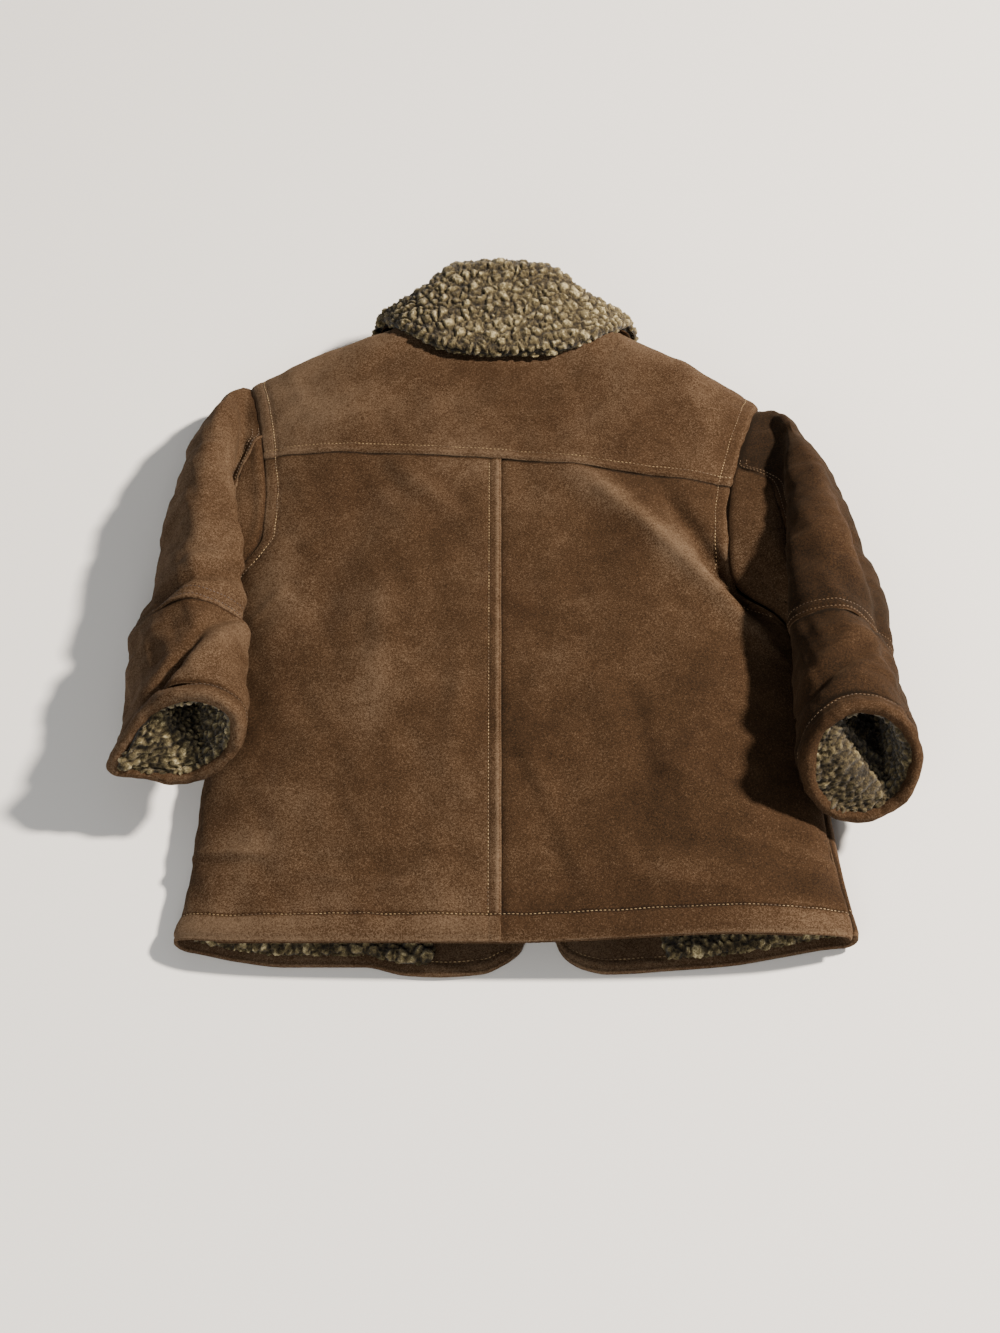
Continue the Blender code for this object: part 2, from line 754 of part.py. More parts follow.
def cuff_ring(side, inset=0.0, back=0.0, count=20, start=0.0):
    """Ring at the cuff mouth, moved in towards its axis and back up the sleeve."""
    cuff = CUFF[side]
    sign = SIGN[side]
    rise = math.radians(cuff["rise"])
    turn = math.radians(cuff["turn"])
    roll = math.radians(cuff["roll"])
    out = Vector((sign * math.sin(turn), -math.cos(turn) * math.cos(rise), math.sin(rise)))
    wide = out.cross(Vector((0, 0, 1))).normalized() * -sign
    high = (wide.cross(out) * -sign).normalized()
    if high.z < 0:
        high = -high
    wide, high = (
        wide * math.cos(roll) - high * math.sin(roll),
        high * math.cos(roll) + wide * math.sin(roll),
    )
    centre = Vector((sign * cuff["x"], cuff["y"], cuff["z"])) - out * back
    ring = []
    for k in range(count):
        a = start + 2 * math.pi * k / count
        tip = max(math.cos(a), 0.0)
        ring.append(
            centre
            + wide * (cuff["wide"] - inset) * math.cos(a) * (1.0 + cuff["point"] * tip ** 3)
            + high * (cuff["high"] - inset) * math.sin(a) * (1.0 - cuff["taper"] * tip ** 2)
        )
    return ring


def elbow_ring(side, count=20):
    """Closed ring of the sleeve just below the elbow seam."""
    y = TOP_SLEEVE[side]["y"][-1] - SEAM_GAP
    inner = ELBOW_INNER[side]
    outer_line = rounded(sleeve_row(side, y))
    inner_line = rounded([(SIGN[side] * inner["x"][k], y, inner["z"][k]) for k in inner["row"]])
    loop = on_ground(outer_line + inner_line[::-1][1:-1])
    loop.append(loop[0])
    return spaced(loop, count + 1)[:-1]


def matching_start(side, first):
    """Angle on the cuff ring that lies in line with the first point of the elbow."""
    best = None
    for k in range(72):
        a = math.radians(k * 5)
        place = cuff_ring(side, count=1, start=a)[0]
        gap = (Vector((place.x, place.z)) - Vector((first.x, first.z + 30.0))).length
        if best is None or gap < best[0]:
            best = (gap, a)
    return best[1]


def sleeve_end(side):
    """Elbow ring and the cuff ring's function, matched point for point."""
    elbow = elbow_ring(side)
    start = matching_start(side, elbow[0])

    def ring(inset, back):
        forward = cuff_ring(side, inset, back, start=start)
        reverse = [forward[0]] + forward[:0:-1]
        far = sum((forward[k] - elbow[k]).length for k in range(len(elbow)))
        near = sum((reverse[k] - elbow[k]).length for k in range(len(elbow)))
        return forward if far <= near else reverse

    return elbow, ring


def shrink(ring, inset):
    """Ring moved in towards its own centre by a distance."""
    centre = sum(ring, Vector()) / len(ring)
    return [p + (centre - p).normalized() * inset for p in ring]


def forearm(side):
    elbow, ring = sleeve_end(side)
    mouth = ring(0.0, CUFF_DEPTH + SLEEVE_GAP)
    grid = []
    for k in range(4):
        v = k / 3
        bend = 4.0 * math.sin(math.pi * v)
        row = [a.lerp(b, v) for a, b in zip(elbow, mouth)]
        centre = sum(row, Vector()) / len(row)
        grid.append([centre + (p - centre) * (1 + bend / 100.0) for p in row])
    return cloth(
        f"forearm_{side}", grid, suede(f"suede forearm {side}"), closed=True, flip=side == "right"
    )


def outward(thing):
    """Turn a closed solid's faces so that they all point out."""
    form = bmesh.new()
    form.from_mesh(thing.data)
    bmesh.ops.recalc_face_normals(form, faces=form.faces)
    form.to_mesh(thing.data)
    form.free()
    return thing


def cuff_hem(side):
    """Turned sleeve end: a thick ring with a rounded mouth."""
    _, ring = sleeve_end(side)
    profile = [
        (0.0, CUFF_DEPTH), (0.0, 3.5), (1.2, 1.0), (3.2, 0.0), (5.3, 0.0),
        (7.3, 1.0), (CUFF_WALL, 3.5), (CUFF_WALL, CUFF_DEPTH),
    ]
    loops = [ring(inset, back) for inset, back in profile]
    points = [p for loop in loops for p in loop]
    count = len(loops[0])
    faces = grid_faces(len(loops), count, closed=True)
    last = (len(loops) - 1) * count
    for c in range(count):
        d = (c + 1) % count
        faces.append((last + c, last + d, d, c))
    return outward(mesh_object(f"cuff_hem_{side}", points, faces, suede(f"suede cuff {side}")))


def cuff_lining(side):
    """Curly pile inside the sleeve end, from behind the cuff to the elbow."""
    elbow, ring = sleeve_end(side)
    mouth = ring(SUEDE + LAYER_GAP * 2, CUFF_DEPTH + SLEEVE_GAP * 2)
    inner = shrink(elbow, SUEDE + LAYER_GAP + 3.4)
    grid = []
    for k in range(4):
        v = 0.06 + 0.94 * k / 3
        bend = 4.0 * math.sin(math.pi * v) - 0.4
        row = [a.lerp(b, v) for a, b in zip(inner, mouth)]
        centre = sum(row, Vector()) / len(row)
        grid.append([centre + (p - centre) * (1 + bend / 100.0) for p in row])
    return cloth(
        f"cuff_lining_{side}", grid, curly(f"pile cuff {side}"), thickness=PILE,
        closed=True, flip=side == "right",
    )


def collar_lines():
    """Collar as seam-to-edge lines, from the left front edge round to the right."""
    lines = []
    path = COLLAR_PATH
    for side in ("left", "right"):
        stretch = COLLAR_STRETCH[side]
        count = 9
        half = []
        for k in range(count):
            row = path["row"][-1] * k / (count - 1)
            got = {name: read(path, name, row) for name in list(path)[1:]}
            sign = SIGN[side] * stretch
            drop = 0.0 if side == "left" else -4.0 * ease(row / 3.0)
            seam = Vector((sign * got["sx"], got["sy"] + drop, got["sz"]))
            ridge = Vector((sign * got["rx"], got["ry"] + drop, got["rz"]))
            edge = Vector((sign * got["fx"], got["fy"] + drop, got["fz"]))
            up = (ridge - (seam + edge) / 2).normalized()
            out = edge - seam
            out = (out - up * out.dot(up)).normalized()
            roll = [ridge - up * 9 - out * 5.7, ridge - up * 2.4 - out * 4.5, ridge]
            roll += [ridge - up * 2.4 + out * 4.5, ridge - up * 9 + out * 5.7]
            half.append(rounded([seam] + roll + [edge], steps=4))
        lines.append(half)
    return lines[0][::-1] + lines[1][1:]


def normal_grid(grid):
    """Unit normals of a grid of points."""
    rows = len(grid)
    columns = len(grid[0])
    normals = []
    for r in range(rows):
        row = []
        for c in range(columns):
            a = grid[min(r + 1, rows - 1)][c] - grid[max(r - 1, 0)][c]
            b = grid[r][min(c + 1, columns - 1)] - grid[r][max(c - 1, 0)]
            row.append(b.cross(a).normalized())
        normals.append(row)
    return normals


def collar():
    """Pile collar on the outside of the roll and suede under collar inside it."""
    lines = [spaced(line, 10) for line in collar_lines()]
    normals = normal_grid(lines)
    outer = [
        on_ground([p + n * COLLAR_PILE for p, n in zip(line, row)])
        for line, row in zip(lines, normals)
    ]
    inner = [[p - n * COLLAR_GAP for p, n in zip(line, row)] for line, row in zip(lines, normals)]
    solid_between("collar_pile", outer, lines, curly("pile collar"))
    deep = [
        [p - n * (COLLAR_GAP + UNDER_COLLAR) for p, n in zip(line, row)]
        for line, row in zip(lines, normals)
    ]
    solid_between("collar_under", inner, deep, suede("suede under collar"))


def solid_between(name, top, bottom, material):
    """Closed solid between two grids of the same size, both split the same way."""
    rows = len(top)
    columns = len(top[0])
    points = [p for row in top for p in row] + [p for row in bottom for p in row]
    offset = rows * columns
    faces = []
    for a, b, c, d in grid_faces(rows, columns):
        faces += [(a, b, c), (a, c, d)]
        faces += [(offset + c, offset + b, offset + a), (offset + d, offset + c, offset + a)]
    rim = [c for c in range(columns)]
    rim += [r * columns + columns - 1 for r in range(1, rows)]
    rim += [(rows - 1) * columns + c for c in range(columns - 2, -1, -1)]
    rim += [r * columns for r in range(rows - 2, 0, -1)]
    for a, b in zip(rim, rim[1:] + rim[:1]):
        faces.append((b, a, offset + a, offset + b))
    return outward(mesh_object(name, points, faces, material))


def centre_on_ground(things):
    """Move all the pieces so that the middle of their box is on the origin."""
    bpy.context.view_layer.update()
    graph = bpy.context.evaluated_depsgraph_get()
    low = Vector((1e9, 1e9, 1e9))
    high = -low
    for thing in things:
        mesh = thing.evaluated_get(graph).to_mesh()
        for vertex in mesh.vertices:
            for axis in range(3):
                low[axis] = min(low[axis], vertex.co[axis])
                high[axis] = max(high[axis], vertex.co[axis])
    shift = Vector((-(low.x + high.x) / 2, -(low.y + high.y) / 2, -low.z))
    for thing in things:
        for vertex in thing.data.vertices:
            vertex.co += shift
    return shift


for old in list(bpy.data.objects):
    bpy.data.objects.remove(old, do_unlink=True)
PARTS = bpy.data.collections.new("suede_jacket")
bpy.context.scene.collection.children.link(PARTS)

yoke()
back_layers()
collar()
for which in ("left", "right"):
    back_panel(which)
    front_pieces(which)
    top_sleeve(which)
    under_sleeve(which)
    forearm(which)
    cuff_hem(which)
    cuff_lining(which)
centre_on_ground(list(PARTS.objects))
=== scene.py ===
"""Child's suede jacket with a curly pile lining and collar, laid flat on its front.

The jacket's own sizes are millimetres from the centre back at the hem: x across, y up the
back to the collar, z up from the surface that the fronts lie on.
"""
import math

import bmesh
import bpy
import numpy as np
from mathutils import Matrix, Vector


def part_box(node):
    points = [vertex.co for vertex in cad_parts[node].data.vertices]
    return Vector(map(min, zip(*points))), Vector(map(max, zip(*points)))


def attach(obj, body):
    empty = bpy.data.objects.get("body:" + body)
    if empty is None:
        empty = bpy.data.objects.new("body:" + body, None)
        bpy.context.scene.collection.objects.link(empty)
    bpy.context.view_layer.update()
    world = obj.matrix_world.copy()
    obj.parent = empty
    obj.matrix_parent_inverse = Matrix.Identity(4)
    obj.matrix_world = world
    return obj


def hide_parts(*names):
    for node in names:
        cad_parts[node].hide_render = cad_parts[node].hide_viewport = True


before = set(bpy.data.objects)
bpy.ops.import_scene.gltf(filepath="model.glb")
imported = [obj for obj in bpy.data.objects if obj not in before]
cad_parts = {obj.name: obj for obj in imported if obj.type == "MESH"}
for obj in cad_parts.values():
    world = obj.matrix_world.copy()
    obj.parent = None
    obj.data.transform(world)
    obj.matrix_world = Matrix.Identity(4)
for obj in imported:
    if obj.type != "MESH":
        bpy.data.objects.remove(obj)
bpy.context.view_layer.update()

# ---------------------------------------------------------------------------------------
# Room: a pale sheet on the floor, one soft window-like light high on the right behind the
# collar, a wide weak fill from the hem side, and the camera looking down over the hem.
# ---------------------------------------------------------------------------------------
SEAM_HALF = 0.0002
ZERO = Vector((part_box("back_left")[1][0] + SEAM_HALF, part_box("back_left")[0][1], 0.0))
VIEW_HEIGHT = math.radians(52.0)
VIEW_DISTANCE = 1.90
VIEW_TARGET = Vector((0.0, 0.2135, 0.02)) + ZERO


def linear(code):
    """Linear colour of an sRGB hex code."""
    values = [int(code[i:i + 2], 16) / 255 for i in (1, 3, 5)]
    values = [v / 12.92 if v <= 0.04045 else ((v + 0.055) / 1.055) ** 2.4 for v in values]
    return (*values, 1.0)


def aim(thing, target):
    """Turn a lamp or camera to look at a point."""
    thing.rotation_euler = (target - thing.location).to_track_quat("-Z", "Y").to_euler()


def lamp(name, place, size, power, colour):
    """A round soft lamp that points at the middle of the jacket."""
    data = bpy.data.lights.new(name, "AREA")
    data.shape = "DISK"
    data.size = size
    data.energy = power
    data.color = linear(colour)[:3]
    thing = bpy.data.objects.new(name, data)
    bpy.context.scene.collection.objects.link(thing)
    thing.location = place
    aim(thing, Vector((0.0, 0.0, 0.03)))


camera = bpy.data.objects.new("camera", bpy.data.cameras.new("camera"))
bpy.context.scene.collection.objects.link(camera)
camera.data.lens = 80.0
camera.data.sensor_width = 36.0
camera.location = VIEW_TARGET + VIEW_DISTANCE * Vector(
    (0.0, -math.cos(VIEW_HEIGHT), math.sin(VIEW_HEIGHT))
)
aim(camera, VIEW_TARGET)
bpy.context.scene.camera = camera

lamp("window", (2.43, 0.47, 2.32), 0.3, 362.0, "#fff3e4")
lamp("fill", (-0.5, -1.9, 1.2), 1.2, 26.0, "#f6f4f0")
world = bpy.data.worlds.new("studio")
bpy.context.scene.world = world
world.use_nodes = True
world.node_tree.nodes["Background"].inputs["Color"].default_value = linear("#f4f3f1")
world.node_tree.nodes["Background"].inputs["Strength"].default_value = 0.26

floor_mesh = bpy.data.meshes.new("floor")
floor_mesh.from_pydata([(-6, -6, 0), (6, -6, 0), (6, 6, 0), (-6, 6, 0)], [], [(0, 1, 2, 3)])
floor = bpy.data.objects.new("floor", floor_mesh)
bpy.context.scene.collection.objects.link(floor)
floor.location.z = -0.0004
paper = bpy.data.materials.new("matt white paper")
paper.use_nodes = True
paper_shader = paper.node_tree.nodes["Principled BSDF"]
paper_shader.inputs["Base Color"].default_value = linear("#f6f5f3")
paper_shader.inputs["Roughness"].default_value = 0.9
paper_shader.inputs["Specular IOR Level"].default_value = 0.1
floor_mesh.materials.append(paper)

# ---------------------------------------------------------------------------------------
# Lower back: two panels of brown suede joined down the centre back, the left one lapped
# over the right and stitched through. Their turned hem is stitched 16.6 mm up.
# ---------------------------------------------------------------------------------------
SUEDE = 2.0
SIGN = {"left": -1.0, "right": 1.0}
SHOULDER_ROLL = 42.0


def table(columns, *rows):
    """A table with named columns, the first of which is the key."""
    names = columns.split()
    return {name: np.array([row[i] for row in rows], float) for i, name in enumerate(names)}


BODY = table(
    "y    left  right crown rise edge",
    (-12, 203, 221, 29, 8, 10),
    (12, 198, 217, 32, 7, 11),
    (34, 193, 213, 34, 7, 11),
    (60, 190, 209, 38, 5, 12),
    (100, 187, 205, 42, 4, 12),
    (180, 184.5, 198, 46, 3, 12),
    (240, 183.5, 192, 48, 1, 12),
    (300, 182, 188, 50, 0, 13),
    (400, 178, 182, 51, 0, 15),
    (460, 174, 178, 51, 0, 17),
    (530, 170, 174, 51, 0, 17),
)
CROWN_POWER = {"left": 3.0, "right": 4.5}
SHOULDER = table(
    "x     y",
    (-175, 457),
    (-130, 481),
    (-85, 498),
    (-66, 510),
    (-40, 540),
    (0, 560),
    (45, 540),
    (74, 506),
    (96, 491),
    (140, 466),
    (180, 439),
)
YOKE_SEAM = table(
    "x     y",
    (-175, 381),
    (-100, 376),
    (-50, 371),
    (0, 367),
    (50, 361),
    (100, 354),
    (175, 348),
)
HEM_BACK = table(
    "x     y",
    (-200, 12),
    (-161, 4),
    (-99, 1),
    (0, 0),
    (68, 1),
    (132, 3),
    (182, 5),
    (218, 10),
)
FRONT_EDGE = {
    "left": table("y x", (-10, 16), (120, 13), (300, 8), (440, 4)),
    "right": table("y x", (-10, 33), (120, 26), (300, 18), (440, 13)),
}
ARMHOLE = {
    "left": table(
        "y    back front",
        (272, 0, 0),
        (279, 6, 7),
        (287, 12, 13),
        (298, 21, 19),
        (310, 25.5, 24),
        (330, 26, 26),
        (355, 24, 26),
        (380, 20, 23),
        (404, 16, 20),
        (430, 10, 14),
        (457, 3, 5),
        (470, 2, 3),
    ),
    "right": table(
        "y    back front",
        (238, 0, 0),
        (247, 13, 10),
        (256, 28, 21),
        (266, 37, 31),
        (280, 40, 36),
        (312, 38, 38),
        (343, 33, 35),
        (371, 25, 30),
        (397, 17, 22),
        (425, 7, 11),
        (441, 2, 4),
        (460, 2, 3),
    ),
}
SIDE_SEAM = {
    "left": table("y over", (-12, 0), (272, 0)),
    "right": table("y over", (-12, 10), (51, 9), (90, 12), (180, 10), (238, 0)),
}
# The largest folds of the back: a ridge or trough from (x0, y0) to (x1, y1).
FOLDS = table(
    "x0   y0   x1   y1   width height",
    (68, 337, 161, 234, 12, 6.5),
    (114, 326, 161, 246, 9, -7),
    (-87, 357, -110, 252, 16, -3),
    (-110, 252, -122, 168, 16, -2.5),
    (-143, 315, -142, 219, 14, 2),
    (-190, 72, -140, 66, 12, 3),
    (96, 44, 150, 42, 12, 2.5),
)


def ease(value):
    """0 below 0, 1 above 1 and a soft step between."""
    value = np.clip(value, 0.0, 1.0)
    return value * value * (3.0 - 2.0 * value)


def read(rows, column, at):
    """Smooth values of a column where the key column has the values at."""
    keys = next(iter(rows.values()))
    values = rows[column]
    if keys[0] > keys[-1]:
        keys = keys[::-1]
        values = values[::-1]
    at = np.clip(at, keys[0], keys[-1])
    i = np.clip(np.searchsorted(keys, at, side="right") - 1, 0, len(keys) - 2)
    width = np.diff(keys)
    steps = np.diff(values) / width
    both = steps[:-1] * steps[1:]
    total = np.where(both > 0, steps[:-1] + steps[1:], 1.0)
    slope = np.concatenate([steps[:1], np.where(both > 0, 2.0 * both / total, 0.0), steps[-1:]])
    t = (at - keys[i]) / width[i]
    return (
        values[i] * (1 + 2 * t) * (1 - t) ** 2
        + slope[i] * width[i] * t * (1 - t) ** 2
        + values[i + 1] * t * t * (3 - 2 * t)
        + slope[i + 1] * width[i] * t * t * (t - 1)
    )


def ridges(rows, x, y):
    """Height that ridges and troughs drawn as lines on the plan add at places."""
    total = np.zeros(np.broadcast(x, y).shape)
    for x0, y0, x1, y1, width, height in zip(*rows.values()):
        run = np.array((x1 - x0, y1 - y0))
        along = ((x - x0) * run[0] + (y - y0) * run[1]) / run.dot(run)
        across = np.hypot(x - x0 - run[0] * along, y - y0 - run[1] * along)
        off = np.abs(along - 0.5)
        ends = ease(1.25 - off) * np.exp(-np.maximum(off - 0.5, 0.0) ** 2 * 12.0)
        total = total + height * ends * np.exp(-((across / width) ** 2))
    return total


def back_height(x, y):
    """Height of the upper skin of the back and yoke."""
    left = x < 0
    half = np.where(left, read(BODY, "left", y), read(BODY, "right", y))
    edge = read(BODY, "edge", y)
    crown = read(BODY, "crown", y) + read(BODY, "rise", y) * ease(x / 150.0)
    power = np.where(left, CROWN_POWER["left"], CROWN_POWER["right"])
    across = np.maximum(1.0 - np.minimum(np.abs(x) / half, 1.0) ** power, 0.0) ** 0.5
    inside = np.clip((read(SHOULDER, "y", x) - y) / SHOULDER_ROLL, 0.0, 1.0)
    fall = np.maximum(1.0 - (1.0 - inside) ** 3, 0.0) ** 0.5
    return edge + ((crown - edge) + ridges(FOLDS, x, y)) * across * fall


def ground(x, y):
    """Height of the fronts above the ground, where they lie on the front collar."""
    return 12.0 * ease((y - 380.0) / 34.0) * ease((128.0 - np.abs(x)) / 30.0)


def lengths(line):
    """Running length along a line of points."""
    return np.concatenate([[0.0], np.cumsum(np.linalg.norm(np.diff(line, axis=0), axis=1))])


STATIONS = np.arange(-14.0, 546.0, 2.0)
MARKS = np.arange(-235.0, 236.0, 1.0)


def body_skin(side):
    """The body's outer skin by station and by mark, and the mark of the armhole's back edge.

    Marks are 0 at the side edge, grow over the top to the centre back, and are negative
    round the edge and along the ground to the front edge."""
    sign = SIGN[side]
    skin = np.zeros((len(STATIONS), len(MARKS), 3))
    centre = np.zeros(len(STATIONS))
    opening = np.zeros(len(STATIONS))
    back = np.zeros(len(STATIONS))
    for i, y in enumerate(STATIONS):
        half = float(read(BODY, side, y))
        edge = float(read(BODY, "edge", y))
        x = sign * half * (1.0 - np.linspace(0.0, 1.0, 200) ** 2)
        top = np.stack([x, np.full(200, y), back_height(x, np.full(200, y))], axis=1)
        a = np.linspace(0.0, math.pi / 2, 24)
        turn = np.stack([sign * (half - edge + edge * np.cos(a)), 0 * a + y, edge * (1 - np.sin(a))], 1)
        x = np.linspace(turn[-1, 0], float(read(FRONT_EDGE[side], "x", y)), 120)[1:]
        flat = np.stack([x, 0 * x + y, ground(x, y)], axis=1)
        turn[:, 2] = np.where(np.abs(turn[:, 0]) < half - edge, ground(turn[:, 0], y), turn[:, 2])
        under = np.vstack([turn, flat])
        line = np.vstack([under[::-1], top[1:]])
        marks = np.concatenate([-lengths(under)[::-1], lengths(top)[1:]])
        for axis in range(3):
            skin[i, :, axis] = np.interp(MARKS, marks, line[:, axis])
        centre[i] = marks[-1]
        opening[i] = marks[0]
        reach = half - float(read(ARMHOLE[side], "back", y))
        over = marks >= 0.0
        if y <= ARMHOLE[side]["y"][0]:
            back[i] = read(SIDE_SEAM[side], "over", y)
        else:
            back[i] = np.interp(-reach, -np.abs(line[over, 0]), marks[over])
    return {"skin": skin, "centre": centre, "opening": opening, "back": back}


SKIN = {side: body_skin(side) for side in ("left", "right")}


def on_skin(side, y, mark):
    """Points of the outer skin at stations and marks."""
    r = np.clip((y - STATIONS[0]) / 2.0, 0.0, len(STATIONS) - 1.001)
    c = np.clip(mark - MARKS[0], 0.0, len(MARKS) - 1.001)
    r0 = r.astype(int)
    c0 = c.astype(int)
    fr = (r - r0)[..., None]
    fc = (c - c0)[..., None]
    skin = SKIN[side]["skin"]
    low = skin[r0, c0] * (1 - fc) + skin[r0, c0 + 1] * fc
    high = skin[r0 + 1, c0] * (1 - fc) + skin[r0 + 1, c0 + 1] * fc
    return low * (1 - fr) + high * fr


def edge_mark(side, y, which):
    """Mark of the centre back, the armhole's back edge or the front opening at stations."""
    return np.interp(y, STATIONS, SKIN[side][which])


def stops(first, middle, last):
    """Shares and offsets of lines set close at both ends of a panel and even between."""
    first = np.array(first, float)
    last = np.array(last, float)
    share = np.linspace(0.0, 1.0, middle + 2)[1:-1]
    offset = first[-1] * (1 - share) - last[-1] * share
    share = np.concatenate([0 * first, share, 0 * last + 1.0])
    return share, np.concatenate([first, offset, -last[::-1]])


def keep_above(grid, least=0.0):
    """A grid kept from dipping below the ground."""
    grid[..., 2] = np.maximum(grid[..., 2], least)
    return grid


def normals(grid, closed=False):
    """Unit normals of a grid of points, from the run of its rows and columns."""
    down = np.gradient(grid, axis=0)
    if closed:
        across = np.roll(grid, -1, axis=1) - np.roll(grid, 1, axis=1)
    else:
        across = np.gradient(grid, axis=1)
    found = np.cross(across, down)
    size = np.linalg.norm(found, axis=2, keepdims=True)
    return found / np.maximum(size, 1e-9)


RIM_STEPS = 3


def shell(grid, turned, thick, closed):
    """Points and faces of a wall with rounded edges, whose outer face is the grid."""
    rows, columns, _ = grid.shape
    middle = grid - turned * thick / 2
    points = [grid.reshape(-1, 3), (grid - turned * thick).reshape(-1, 3)]
    index = np.arange(rows * columns).reshape(rows, columns)
    a = index[:-1, :] if closed else index[:-1, :-1]
    b = np.roll(index, -1, axis=1)[:-1, :] if closed else index[:-1, 1:]
    d = index[1:, :] if closed else index[1:, :-1]
    c = np.roll(index, -1, axis=1)[1:, :] if closed else index[1:, 1:]
    quads = np.stack([a, b, c, d], axis=-1).reshape(-1, 4)
    faces = [quads, quads[:, ::-1] + rows * columns]
    if closed:
        borders = [(index[0], index[1]), (index[-1], index[-2])]
    else:
        ring = np.concatenate([index[0], index[1:, -1], index[-1, -2::-1], index[-2:0:-1, 0]])
        near = np.concatenate([
            index[1], index[1:-1, -2], index[-2, -1:], index[-2, -2::-1], index[-2:0:-1, 1]
        ])
        borders = [(ring, near)]
    flat_grid = grid.reshape(-1, 3)
    flat_turned = turned.reshape(-1, 3)
    flat_middle = middle.reshape(-1, 3)
    for edge, inside in borders:
        out = flat_grid[edge] - flat_grid[inside]
        out -= flat_turned[edge] * np.sum(out * flat_turned[edge], axis=1, keepdims=True)
        out /= np.maximum(np.linalg.norm(out, axis=1, keepdims=True), 1e-9)
        loops = [edge]
        for k in range(1, RIM_STEPS + 1):
            angle = math.pi * k / (RIM_STEPS + 1)
            way = flat_turned[edge] * math.cos(angle) + out * math.sin(angle)
            start = sum(len(p) for p in points)
            points.append(flat_middle[edge] + way * thick / 2)
            loops.append(np.arange(start, start + len(edge)))
        loops.append(edge + rows * columns)
        for one, two in zip(loops, loops[1:]):
            faces.append(np.stack([one, two, np.roll(two, -1), np.roll(one, -1)], axis=-1))
    return np.vstack(points), np.vstack(faces)


def piece(name, grid, turned, thick, material, closed=False, **shades):
    """An object of the jacket: a wall of cloth whose outer face is a grid in millimetres.

    Each shade is given by its values over the grid and its one value on the rest."""
    points, faces = shell(grid, turned, thick, closed)
    mesh = bpy.data.meshes.new(name)
    mesh.from_pydata((points / 1000.0 + np.array(ZERO)).tolist(), [], faces.tolist())
    for shade, (over, rest) in shades.items():
        values = np.full(len(points), rest, np.float32)
        values[:grid[..., 0].size] = np.broadcast_to(over, grid.shape[:2]).ravel()
        layer = mesh.attributes.new(shade, "FLOAT", "POINT")
        layer.data.foreach_set("value", values)
    form = bmesh.new()
    form.from_mesh(mesh)
    bmesh.ops.recalc_face_normals(form, faces=form.faces)
    form.to_mesh(mesh)
    form.free()
    mesh.shade_smooth()
    mesh.materials.append(material)
    thing = bpy.data.objects.new(name, mesh)
    bpy.context.scene.collection.objects.link(thing)
    return thing


WAVES = np.random.default_rng(7)
WAVE_WAYS = WAVES.normal(size=(26, 3))
WAVE_WAYS /= np.linalg.norm(WAVE_WAYS, axis=1, keepdims=True)
WAVE_SIZES = np.geomspace(11.0, 75.0, 26)
WAVE_STARTS = WAVES.uniform(0.0, 2 * math.pi, 26)


def unevenness(grid):
    """Soft unevenness of suede over its pile, about 0.7 mm deep."""
    total = np.zeros(grid.shape[:-1])
    for way, size, start in zip(WAVE_WAYS, WAVE_SIZES, WAVE_STARTS):
        total += 0.012 * size ** 0.75 * np.sin(grid @ way * 2 * math.pi / size + start)
    return total


def pucker(run, away, reach=7.0, depth=0.28):
    """Small gathers that stitching pulls into the suede beside it."""
    wave = np.sin(run / 4.1 + 1.7 * np.sin(run / 17.0)) + 0.6 * np.sin(run / 6.7 + 2.0)
    return depth * wave * np.exp(-((away / reach) ** 2))


def groove(away, depth=0.55, width=1.1):
    """Trough that a line of stitches sinks into the suede."""
    return -depth * np.exp(-((away / width) ** 2))


def node(tree, kind, settings=None, inputs=None, **values):
    """Add a node with its settings, and a value or a link for each input that needs one."""
    added = tree.nodes.new(kind)
    for key, value in (settings or {}).items():
        setattr(added, key, value)
    for key, value in values.items():
        added.inputs[key.replace("_", " ")].default_value = value
    for key, given in (inputs or {}).items():
        if isinstance(given, bpy.types.NodeSocket):
            tree.links.new(given, added.inputs[key])
        else:
            added.inputs[key].default_value = given
    return added


# Sizes of the suede's patterns, in mm. Real nap is 0.1 to 0.3 mm, too fine to show, so it is
# drawn at 0.7 mm, with a grain twice as coarse under it.
NAP = 2 / 3
GRAIN = 25 / 19
BRUSHED = 40 / 3
CLOUDS = 1000 / 17


